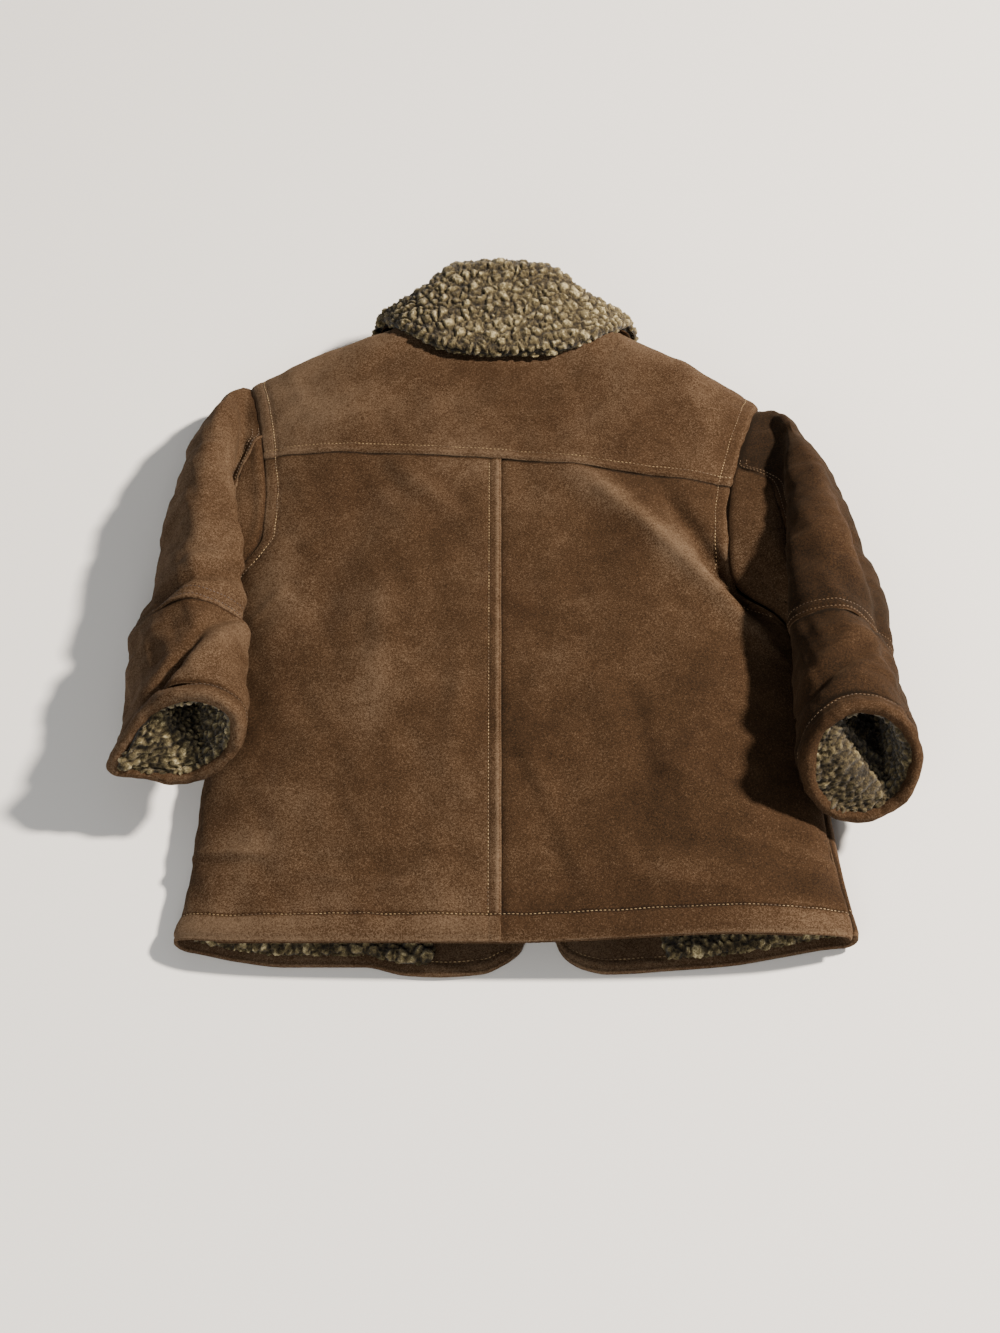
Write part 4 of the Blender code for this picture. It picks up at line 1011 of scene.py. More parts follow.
# The rolled rim's section: how far in from the outside and back from the end.
CUFF_PROFILE = table(
    "inset back",
    (0.3, CUFF_DEPTH),
    (0.0, 11.0),
    (-0.2, 6.0),
    (0.4, 2.4),
    (2.0, 0.5),
    (4.2, -0.2),
    (6.6, 0.6),
    (8.2, 2.6),
    (CUFF_WALL, 6.0),
    (CUFF_WALL - 0.5, 11.0),
    (CUFF_WALL - 1.0, CUFF_DEPTH),
)
RING = 150
FOREARM_CREASES = table(
    "x0   y0   x1   y1   width height",
    (-172, 222, -206, 160, 5, -4.0),
    (-198, 172, -236, 112, 5, -4.4),
    (-166, 206, -216, 120, 10, 3.2),
    (-200, 214, -240, 150, 12, -1.6),
    (-234, 222, -206, 192, 7, 1.8),
    (-240, 176, -222, 140, 6, -1.8),
    (190, 146, 224, 174, 5, -4.5),
    (192, 162, 226, 188, 8, 2.4),
    (202, 138, 240, 160, 8, 1.8),
    (188, 124, 226, 121, 4, -2.4),
    (236, 206, 246, 160, 7, -2.4),
    (226, 200, 240, 160, 7, 1.8),
)


def cuff_ring(side, inset, back, start, reverse=False):
    """Ring at the cuff mouth, moved in towards its axis and back up the sleeve."""
    cuff = CUFF[side]
    sign = SIGN[side]
    rise, turn, roll = (math.radians(cuff[key]) for key in ("rise", "turn", "roll"))
    out = Vector((sign * math.sin(turn), -math.cos(turn) * math.cos(rise), math.sin(rise)))
    wide = out.cross(Vector((0, 0, 1))).normalized() * -sign
    high = (wide.cross(out) * -sign).normalized()
    if high.z < 0:
        high = -high
    wide, high = (
        np.array(wide * math.cos(roll) - high * math.sin(roll)),
        np.array(high * math.cos(roll) + wide * math.sin(roll)),
    )
    centre = np.array((sign * cuff["x"], cuff["y"], cuff["z"])) - np.array(out) * back
    a = start + 2 * math.pi * np.arange(RING) / RING * (-1 if reverse else 1)
    tip = np.maximum(np.cos(a), 0.0)
    return (
        centre
        + np.outer((cuff["wide"] - inset) * np.cos(a) * (1.0 + cuff["point"] * tip ** 3), wide)
        + np.outer((cuff["high"] - inset) * np.sin(a) * (1.0 - cuff["taper"] * tip ** 2), high)
    )


def elbow_loop(side):
    """Closed ring of the sleeve at the elbow seam."""
    y = TOP_SLEEVE[side]["y"][-1]
    inner = ELBOW_INNER[side]
    inner_line = rounded(np.stack([SIGN[side] * inner["x"], 0 * inner["x"] + y, inner["z"]], axis=1))
    loop = np.vstack([sleeve_line(side, y), inner_line[::-1][1:]])
    loop[:, 2] = np.maximum(loop[:, 2], 0.0)
    return resample(loop, lengths(loop)[-1] * np.arange(RING) / RING)


CUFF_STITCHES = {"outer": 2.4, "inner": 5.0}
# Each sleeve's ring at the elbow, and where and which way round its rings at the cuff start.
CUFF_START = {}
for side in ("left", "right"):
    sign = SIGN[side]
    elbow = elbow_loop(side)
    tries = [math.radians(k * 5) for k in range(72)]
    gaps = [
        np.linalg.norm((cuff_ring(side, 0, 0, a)[0] - elbow[0] - (0, 0, 30.0))[[0, 2]]) for a in tries
    ]
    start = tries[int(np.argmin(gaps))]
    ways = [cuff_ring(side, 0, 0, start, reverse) for reverse in (False, True)]
    far = [np.linalg.norm(way - elbow, axis=1).sum() for way in ways]
    reverse = far[1] < far[0]

    mouth = cuff_ring(side, 0.0, CUFF_DEPTH - 1.0, start, reverse)
    share, offset = stops((-3.0, -2.0, -1.0, 0.0, 1.0, 2.4, 4.4, 6.5), 40, (0.0, 0.8, 2.0, 4.0))
    span = float(np.linalg.norm(mouth - elbow, axis=1).mean())
    grid = []
    for v in share + offset / span:
        row = elbow * (1 - v) + mouth * v
        centre = row.mean(axis=0)
        grid.append(centre + (row - centre) * (1 + 0.02 * math.sin(math.pi * v)))
    grid = np.stack(grid)
    middle = grid.mean(axis=1, keepdims=True)
    turned = normals(grid, closed=True)
    turned *= np.sign(np.sum(turned * (grid - middle)))
    top = walk(grid, 0)
    end = walk(grid, 0, end=True)
    rise = unevenness(grid * 1.4) * 1.3 * ease(top / 10.0) * ease(end / 8.0)
    rise += ridges(FOREARM_CREASES, grid[..., 0], grid[..., 1]) * ease(top / 12.0) * ease(
        (grid[..., 2] - 30.0) / 14.0)
    rise -= 0.8 * ease((4.2 - top) / 2.6) + 0.8 * np.exp(-((end / 1.6) ** 2))
    rise += pucker(lengths(elbow)[None, :], top - 2.0, 9.0, 0.35)
    rise += pucker(lengths(mouth)[None, :], end, 10.0, 0.4)
    grid = keep_above(grid + turned * rise[..., None])
    # Painted highlight on the crease tops; painted shade at the elbow seam, at the cuff and over the
    # whole right forearm; painted light over the left one.
    worn = 0.06 * ridges(FOREARM_CREASES, grid[..., 0], grid[..., 1]).clip(0)
    dull = 0.7 * np.exp(-(((top - 3.0) / 1.6) ** 2)) + 0.5 * np.exp(-((end / 1.6) ** 2))
    dull += 0.36 if side == "right" else -0.12
    forearm = piece(f"forearm_{side}_suede", grid, turned, SUEDE, BROWN_SUEDE, closed=True,
                    worn=(worn, 0.2), dull=(dull, 0.0))
    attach(forearm, "root")
    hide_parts(f"forearm_{side}")

    # The cuff: one skin round the rolled rim, from the stitch line back to its inner edge.
    profile = rounded(np.stack([CUFF_PROFILE["inset"], CUFF_PROFILE["back"]], axis=1), 5)
    grid = np.stack([cuff_ring(side, inset, back, start, reverse) for inset, back in profile])
    middle = cuff_ring(side, CUFF_WALL / 2, CUFF_DEPTH / 2, start, reverse)[None]
    turned = normals(grid, closed=True)
    turned *= np.sign(np.sum(turned * (grid - middle)))
    over = walk(grid, 0)
    inside = walk(grid, 0, end=True)
    around = lengths(mouth)[None, :]
    rise = unevenness(grid * 2.2) * 0.8 * ease(over / 4.0) + pucker(around, over - 2.0, 8.0, 0.4)
    rolls = np.sin(around / 9.0 + 2.0 * np.sin(around / 31.0))
    rise += groove(over - CUFF_STITCHES["outer"]) + 0.5 * rolls * np.exp(-((over - 17.0) / 8.0) ** 2)
    from_stitch = inside - CUFF_STITCHES["inner"]
    rise += pucker(around * 1.2, from_stitch, 8.0, 0.4) + groove(from_stitch, 0.5)
    grid = grid + turned * rise[..., None]
    # Wear and painted highlight on the rolled rim; painted shade in the outer stitch line, more on the
    # right cuff than the left.
    worn = 0.25 * np.exp(-((over - 17.5) / 6.0) ** 2)
    dull = 0.5 * np.exp(-((over - CUFF_STITCHES["outer"]) / 1.2) ** 2)
    dull += 0.25 if side == "right" else 0.05
    cuff = piece(f"cuff_{side}_suede", grid, turned, SUEDE, BROWN_SUEDE, closed=True,
                 worn=(worn, 0.1), dull=(dull, 0.0))
    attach(cuff, "root")
    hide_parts(f"cuff_hem_{side}")
    ring, ring_turned = (np.concatenate([v, v[:, :1]], axis=1) for v in (grid, turned))
    for gap, line in ((over[:, 0], "outer"), (inside[:, 0], "inner")):
        row = int(np.argmin(np.abs(gap - CUFF_STITCHES[line])))
        keep_line(ring, ring_turned, row, 0, group="sleeves")
    CUFF_START[side] = (elbow, start, reverse)

# ---------------------------------------------------------------------------------------
# Collar: curly olive-beige pile on the outside of the roll and brown suede inside it,
# sewn to the neckline. The pile is a knitted backing set with lumps of curls, 7 mm across.
# ---------------------------------------------------------------------------------------
COLLAR_PATH = table(
    "row sx   sy   sz  rx   ry   rz  fx   fy   fz",
    (0, 0, 478.5, 46.5, 0, 527, 66, 0, 458, 54.3),
    (1, 28, 480, 46, 27, 526, 64, 32, 462, 53.8),
    (2, 50, 487, 43, 53, 512, 52, 60, 479, 52),
    (2.5, 60, 493, 38, 64, 512, 43, 74, 494, 44),
    (3, 67, 502, 29, 75, 515, 32, 84, 508, 32),
    (4, 72, 507, 21, 79, 516, 20, 87, 509, 18),
    (5, 70, 500, 15, 77, 513, 11, 86, 500, 8.6),
    (6, 52, 466, 15, 60, 490, 9, 70, 448, 8.2),
    (7, 22, 446, 17, 28, 472, 10, 34, 420, 8.2),
)
COLLAR_STRETCH = {"left": 0.97, "right": 1.06}
COLLAR_BACKING = 5.2
COLLAR_LUMP = 6.6
COLLAR_HEIGHT = 2.4


# Sizes of the pile's patterns, in mm. Real fibres are under 0.1 mm, too fine to show, so they
# are drawn as locks of 2.5 mm; the curls sway every 6 mm, and the colour drifts over 22 mm.
FIBRE = 2.5
SWAY = 100 / 17
DRIFT = 200 / 9


def pile_finish(name, root, shade, middle, tip):
    """Knitted pile: tight curls of fine wool-like fibre, matt.

    Painted shade takes the gaps between curls down to a dark olive, a painted highlight makes
    the tips pale, and each curl differs a little in tone."""
    material = bpy.data.materials.new(name)
    material.use_nodes = True
    tree = material.node_tree
    shader = tree.nodes["Principled BSDF"]
    place = tree.nodes.new("ShaderNodeTexCoord").outputs["Object"]
    height = node(tree, "ShaderNodeAttribute", {"attribute_name": "tip"}).outputs["Fac"]
    tone = node(tree, "ShaderNodeAttribute", {"attribute_name": "tone"}).outputs["Fac"]
    fibre = node(tree, "ShaderNodeTexNoise", None, {"Vector": place}, Scale=1000 / FIBRE,
                 Detail=4.0, Roughness=0.8, Distortion=0.6).outputs["Fac"]
    drift = node(tree, "ShaderNodeTexNoise", None, {"Vector": place}, Scale=1000 / DRIFT,
                 Detail=2.0).outputs["Fac"]

    # Tone and noises are centred on 0.5, so half of each one's gain comes off.
    gains = ((tone, 0.2), (fibre, 1.8), (drift, 0.35))
    value = node(tree, "ShaderNodeMath", {"operation": "SUBTRACT"},
                 {0: height, 1: sum(gain for _, gain in gains) / 2}).outputs[0]
    for source, gain in gains:
        value = node(tree, "ShaderNodeMath", {"operation": "MULTIPLY_ADD"},
                     {0: source, 1: gain, 2: value}).outputs[0]
    ramp = node(tree, "ShaderNodeValToRGB", None, {"Fac": value})
    for position, code in ((0.30, shade), (0.68, middle)):
        ramp.color_ramp.elements.new(position).color = linear(code)
    ramp.color_ramp.elements[0].color = linear(root)
    ramp.color_ramp.elements[-1].color = linear(tip)
    tree.links.new(ramp.outputs["Color"], shader.inputs["Base Color"])
    bump = node(tree, "ShaderNodeBump", None, {"Height": fibre}, Strength=0.8, Distance=0.0008)
    tree.links.new(bump.outputs["Normal"], shader.inputs["Normal"])
    shader.inputs["Roughness"].default_value = 1.0
    shader.inputs["Specular IOR Level"].default_value = 0.1
    shader.inputs["Sheen Weight"].default_value = 0.15
    shader.inputs["Sheen Roughness"].default_value = 0.6
    return material


# The darkest colour is the painted shade in the gaps between curls, the palest the painted highlight on
# their tips.
OLIVE_PILE = pile_finish("olive-beige curly pile", "#140f07", "#352c1a", "#665b3f", "#b3a680")


def sockets(tree, **defaults):
    """Named inputs of a node tree, with their default values, after its geometry input."""
    tree.interface.new_socket("Geometry", in_out="INPUT", socket_type="NodeSocketGeometry")
    for key, value in defaults.items():
        socket = tree.interface.new_socket(key, in_out="INPUT", socket_type="NodeSocketFloat")
        socket.default_value = value
    tree.interface.new_socket("Geometry", in_out="OUTPUT", socket_type="NodeSocketGeometry")
    return tree.nodes.new("NodeGroupInput"), tree.nodes.new("NodeGroupOutput")


def pile_tree(material):
    """Tree that swells a surface into low lumps of curled fibre, parted by narrow gaps."""
    tree = bpy.data.node_groups.new("pile_lumps", "GeometryNodeTree")
    given, result = sockets(tree, Lump=0.0066, Height=0.0026, Curl=0.0024, Twist=0.0075, Pale=0.65)
    place = tree.nodes.new("GeometryNodeInputPosition").outputs["Position"]
    sway = node(tree, "ShaderNodeTexNoise", None, {"Vector": place}, Scale=1000 / SWAY, Detail=4.0)
    centred = node(tree, "ShaderNodeVectorMath", {"operation": "SUBTRACT"},
                   {0: sway.outputs["Color"], 1: (0.5, 0.5, 0.5)})
    scaled = node(tree, "ShaderNodeVectorMath", {"operation": "SCALE"},
                  {"Vector": centred.outputs["Vector"], "Scale": given.outputs["Twist"]})
    bent = node(tree, "ShaderNodeVectorMath", {"operation": "ADD"},
                {0: place, 1: scaled.outputs["Vector"]}).outputs["Vector"]
    broad, tight = (
        node(tree, "ShaderNodeMath", {"operation": "DIVIDE"}, {0: 1.0, 1: given.outputs[size]})
        for size in ("Lump", "Curl")
    )
    gap = node(tree, "ShaderNodeTexVoronoi", {"feature": "DISTANCE_TO_EDGE"},
               {"Vector": bent, "Scale": broad.outputs[0]})
    cell = node(tree, "ShaderNodeTexVoronoi", {"feature": "F1"},
                {"Vector": bent, "Scale": broad.outputs[0]})
    curl = node(tree, "ShaderNodeTexVoronoi", {"feature": "F1"},
                {"Vector": bent, "Scale": tight.outputs[0]})
    away = node(tree, "ShaderNodeMapRange", None, {"Value": gap.outputs["Distance"]}, From_Max=0.3)
    lump = node(tree, "ShaderNodeMath", {"operation": "POWER"}, {0: away.outputs["Result"], 1: 0.6})
    tuft = node(tree, "ShaderNodeMapRange", None, {"Value": curl.outputs["Distance"]},
                From_Max=0.8, To_Min=1.0, To_Max=0.0)
    mixed = node(tree, "ShaderNodeMath", {"operation": "MULTIPLY"},
                 {0: lump.outputs[0], 1: tuft.outputs["Result"]})
    raised = node(tree, "ShaderNodeMath", {"operation": "MULTIPLY_ADD"},
                  {0: mixed.outputs[0], 1: 0.55, 2: lump.outputs[0]})
    height = node(tree, "ShaderNodeMath", {"operation": "MULTIPLY"},
                  {0: raised.outputs[0], 1: given.outputs["Height"]})
    facing = tree.nodes.new("GeometryNodeInputNormal").outputs["Normal"]
    offset = node(tree, "ShaderNodeVectorMath", {"operation": "SCALE"},
                  {"Vector": facing, "Scale": height.outputs[0]})
    # Painted shade and highlight: each lump's height, scaled by the tree's input for it, is stored as
    # "tip", so gaps are painted dark and tops pale.
    tip = node(tree, "ShaderNodeMath", {"operation": "MULTIPLY"},
               {0: raised.outputs[0], 1: given.outputs["Pale"]})
    tipped = node(tree, "GeometryNodeStoreNamedAttribute",
                  {"data_type": "FLOAT", "domain": "POINT"},
                  {"Geometry": given.outputs["Geometry"], "Value": tip.outputs[0]}, Name="tip")
    toned = node(tree, "GeometryNodeStoreNamedAttribute",
                 {"data_type": "FLOAT", "domain": "POINT"},
                 {"Geometry": tipped.outputs["Geometry"], "Value": cell.outputs["Color"]}, Name="tone")
    swollen = node(tree, "GeometryNodeSetPosition", None,
                   {"Geometry": toned.outputs["Geometry"], "Offset": offset.outputs["Vector"]})
    smooth = node(tree, "GeometryNodeSetShadeSmooth", None,
                  {"Geometry": swollen.outputs["Geometry"]})
    whole = node(tree, "GeometryNodeRealizeInstances", None,
                 {"Geometry": smooth.outputs["Geometry"]})
    coated = node(tree, "GeometryNodeSetMaterial", None,
                  {"Geometry": whole.outputs["Geometry"], "Material": material})
    tree.links.new(coated.outputs["Geometry"], result.inputs["Geometry"])
    return tree


PILE_LUMPS = pile_tree(OLIVE_PILE)
# Painted shade: the backing between the curls takes the dark colour of the gaps.
BACKING_SHADES = {"tip": (0.04, 0.04), "tone": (0.3, 0.3)}


def made_by(tree, thing, **values):
    """Plain mesh of a tree run over an object, which it then replaces in that object."""
    run = thing.modifiers.new("maker", "NODES")
    run.node_group = tree
    for item in tree.interface.items_tree:
        if item.in_out == "INPUT" and item.name in values:
            run[item.identifier] = values[item.name]
    graph = bpy.context.evaluated_depsgraph_get()
    mesh = bpy.data.meshes.new_from_object(thing.evaluated_get(graph), depsgraph=graph)
    mesh.name = thing.name
    thing.modifiers.remove(run)
    thing.data = mesh
    return thing


def even(grid, spacing):
    """The same surface as a grid with points about one spacing apart both ways."""
    for axis in (0, 1):
        step = np.linalg.norm(np.diff(grid, axis=axis), axis=2).mean(axis=1 - axis)
        run = np.concatenate([[0.0], np.cumsum(step)])
        at = np.linspace(0.0, run[-1], int(run[-1] / spacing) + 2)
        place = np.interp(at, run, np.arange(len(run)))
        low = np.minimum(place.astype(int), len(run) - 2)
        part = (place - low).reshape((-1, 1, 1) if axis == 0 else (1, -1, 1))
        grid = np.take(grid, low, axis=axis) * (1 - part) + np.take(grid, low + 1, axis=axis) * part
    return grid


def turn_down(grid, ways, reach, drop):
    """Add a row at both ends of a grid that goes outwards and down, round its edge."""
    ends = []
    for edge, near, way in ((grid[0], grid[1], ways[0]), (grid[-1], grid[-2], ways[-1])):
        out = edge - near
        out /= np.maximum(np.linalg.norm(out, axis=1, keepdims=True), 1e-9)
        ends.append((edge + out * reach - way * drop)[None])
    return np.concatenate([ends[0], grid, ends[1]]), np.concatenate([ways[:1], ways, ways[-1:]])


def pile_on(name, grid, ways, spacing, closed=False, reach=1.6, drop=3.0, **values):
    """Lumpy pile over a grid, standing the way that its directions point."""
    if closed:
        grid = np.concatenate([grid, grid[:, :1]], axis=1)
        ways = np.concatenate([ways, ways[:, :1]], axis=1)
    grid, ways = turn_down(grid, ways, reach, drop)
    if not closed:
        grid, ways = (v.swapaxes(0, 1) for v in turn_down(
            grid.swapaxes(0, 1), ways.swapaxes(0, 1), reach, drop))
    cross = np.cross(grid[:-1, 1:] - grid[:-1, :-1], grid[1:, :-1] - grid[:-1, :-1])
    if np.sum(cross * ways[:-1, :-1]) < 0:
        grid = grid[:, ::-1]
    grid = even(grid, spacing)
    if closed:
        grid = grid[:, :-1]
    grid = keep_above(grid, 0.3)
    rows, columns, _ = grid.shape
    index = np.arange(rows * columns).reshape(rows, columns)
    nexts = np.roll(index, -1, axis=1)
    quads = np.stack([index[:-1], nexts[:-1], nexts[1:], index[1:]], axis=-1)
    quads = (quads if closed else quads[:, :-1]).reshape(-1, 4)
    mesh = bpy.data.meshes.new(name)
    mesh.from_pydata((grid.reshape(-1, 3) / 1000.0 + np.array(ZERO)).tolist(), [], quads.tolist())
    thing = bpy.data.objects.new(name, mesh)
    bpy.context.scene.collection.objects.link(thing)
    made_by(PILE_LUMPS, thing, **values)
    for vertex in thing.data.vertices:
        vertex.co.z = max(vertex.co.z, 0.0)
    return thing


halves = []
for side in ("left", "right"):
    half = []
    for row in np.linspace(0.0, COLLAR_PATH["row"][-1], 90):
        at = {key: float(read(COLLAR_PATH, key, row)) for key in list(COLLAR_PATH)[1:]}
        sign = SIGN[side] * COLLAR_STRETCH[side]
        drop = 0.0 if side == "left" else -4.0 * float(ease(row / 3.0))
        seam, ridge, edge = (
            np.array((sign * at[a + "x"], at[a + "y"] + drop, at[a + "z"])) for a in "srf"
        )
        up = ridge - (seam + edge) / 2
        up /= np.linalg.norm(up)
        out = edge - seam
        out -= up * out.dot(up)
        out /= np.linalg.norm(out)
        roll = [ridge - up * 9 - out * 5.7, ridge - up * 2.4 - out * 4.5, ridge]
        roll += [ridge - up * 2.4 + out * 4.5, ridge - up * 9 + out * 5.7]
        line = rounded(np.array([seam, *roll, edge]))
        half.append(resample(line, np.linspace(0.0, lengths(line)[-1], 56)))
    halves.append(half)
collar_grid = np.stack(halves[0][::-1] + halves[1][1:])
collar_turned = normals(collar_grid)
for _ in range(6):
    collar_turned[1:-1] = (collar_turned[:-2] + collar_turned[1:-1] * 2 + collar_turned[2:]) / 4
collar_turned /= np.linalg.norm(collar_turned, axis=2, keepdims=True)
backing = keep_above(collar_grid + collar_turned * COLLAR_BACKING)
collar = piece("collar_pile_backing", backing, collar_turned, COLLAR_BACKING, OLIVE_PILE,
               **BACKING_SHADES)
collar_curls = pile_on(
    "collar_pile_curls", backing, collar_turned, 0.75, drop=COLLAR_BACKING,
    Lump=COLLAR_LUMP / 1000, Height=COLLAR_HEIGHT / 1000,
)
# The under collar's suede is darkened evenly as painted shade under the collar's roll.
under_collar = piece(
    "under_collar_suede", (collar_grid - collar_turned * 1.4)[::3, :-4:3],
    collar_turned[::3, :-4:3], 1.2, BROWN_SUEDE, worn=(0.0, 0.0), dull=(0.2, 0.2),
)
for thing, cad, slot in (
    (collar, "collar_pile", "pile"),
    (collar_curls, "collar_pile", "pile"),
    (under_collar, "collar_under", "suede_inside"),
):
    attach(thing, "root")
    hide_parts(cad)

# ---------------------------------------------------------------------------------------
# Sleeve linings: the same curly pile lines each forearm, from behind the rolled cuff up to
# the elbow, and fills most of the mouth with its curls.
# ---------------------------------------------------------------------------------------
PILE = 4.5
LINING_START = 7.0
LINING_INSET = 5.0
PILE_FILL = {"left": 0.9, "right": 0.85}
# How pale the lumps' tops are painted in each cuff: more painted light in the left one, painted shade
# in the right one.
PILE_PAINTED_LIGHT = {"left": 0.62, "right": 0.42}
PILE_LEAN = np.array((-0.78, 0.0, -0.62))
for side in ("left", "right"):
    elbow, start, reverse = CUFF_START[side]
    mouth = cuff_ring(side, LINING_INSET, LINING_START, start, reverse)
    centre = elbow.mean(axis=0)
    inner = elbow + (centre - elbow) / np.linalg.norm(centre - elbow, axis=1, keepdims=True) * 7.5
    grid = []
    for v in np.linspace(0.08, 1.0, 44):
        row = inner * (1 - v) + mouth * v
        middle = row.mean(axis=0)
        row = middle + (row - middle) * (1 + 0.016 * math.sin(math.pi * v))
        deep = float(np.linalg.norm(middle - mouth.mean(axis=0)))
        lean = np.clip((row - middle) @ PILE_LEAN, 0.0, None) * PILE_FILL[side]
        lean *= float(ease(deep / 11.0))
        grid.append(row - np.outer(lean, PILE_LEAN))
    grid = np.stack(grid)
    turned = normals(grid, closed=True)
    turned *= np.sign(np.sum(turned * (grid - grid.mean(axis=1, keepdims=True))))
    grid += turned * (ridges(FOREARM_CREASES, grid[..., 0], grid[..., 1]).clip(-9.0, 0.0) * ease(
        (grid[..., 2] - 30.0) / 14.0))[..., None]
    lining = piece(f"sleeve_lining_{side}_backing", grid[:, ::2], turned[:, ::2], PILE, OLIVE_PILE,
                   closed=True, **BACKING_SHADES)
    curls = pile_on(
        f"sleeve_lining_{side}_curls", (grid - turned * PILE)[:, ::2], -turned[:, ::2], 1.0,
        closed=True, Lump=0.005, Height=0.0025, Pale=PILE_PAINTED_LIGHT[side],
    )
    for thing in (lining, curls):
        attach(thing, "root")
        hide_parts(f"cuff_lining_{side}")

# ---------------------------------------------------------------------------------------
# Fronts: two suede panels that lie on the ground and turn up round the sides to the side
# seams. Inside, each has a turned hem, a suede facing at its front edge, and pile between.
# ---------------------------------------------------------------------------------------
HEM_FRONT = {
    "left": table(
        "x     y",
        (-199, 12),
        (-180, 8),
        (-159, 3),
        (-129, -1),
        (-82, -1),
        (-56, -7),
        (-37, -8),
        (-11, -6),
        (3, 1),
        (12, 9),
        (16, 19),
    ),
    "right": table(
        "x     y",
        (33, 19),
        (36, 10),
        (41, 3),
        (51, -3),
        (64, -6),
        (108, -3),
        (139, 0),
        (170, 6),
        (201, 12),
        (218, 13),
    ),
}
FRONT_TOP = 430.0
FRONT_NECK = table(
    "x     drop",
    (0, 0),
    (30, 3),
    (52, 12),
    (68, 28),
    (80, 52),
)
FACING_FROM = {"left": 0.72, "right": 0.64}
FACING_STEPS = (0.0, 0.5, 1.2, 2.4, 4.0, 6.0, 8.0, 10.0)
FACING_GAP = 0.7
FRONT_LINING = 3.0
FRONT_CURL_ROWS = 8
LINING_FROM = 0.09
FRONT_HEM = 15.0
PILE_OVERHANG = 7.0
EDGE_STITCH = 8.0


def front_top(x):
    """Upper end of a front: its neckline, or the shoulder seam on the underside."""
    neck = FRONT_TOP + read(FRONT_NECK, "drop", np.abs(x))
    shoulder = read(SHOULDER, "y", x) - SHOULDER_SEAM_BACK - 1.1
    return np.where(np.abs(x) < 80.0, neck, np.minimum(shoulder, neck + (np.abs(x) - 80.0) * 4.0))


def front_part(side, rows, columns, part=(0.0, 1.0), up=0.0, stop=None):
    """Grid of a front or of a layer of it, between two shares of its width."""
    def mark(share):
        """Marks of a line that lies at a share of the front's width."""
        return lambda y: front_start(side, y) * (1 - share) + edge_mark(side, y, "opening") * share

    low = HEM_FRONT[side]
    found = panel_grid(
        side, rows, columns,
        lambda x: read(low, "y", x) + up,
        (lambda x: read(low, "y", x) + stop) if stop else (lambda x: front_top(x) + 0 * x),
        mark(part[0]), mark(part[1]),
    )
    grid = found[0]
    turned = normals(grid)
    return grid, turned * np.sign(-turned[..., 2].mean()), found[2:]


def laid(name, grid, turned, thick, material, cad, slot, **shades):
    """One layer of a front, which hides the solid of the model that it stands for; its slot is not
    used.
    """
    layer = piece(name, grid, turned, thick, material, **shades)
    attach(layer, "root")
    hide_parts(cad)
    return layer


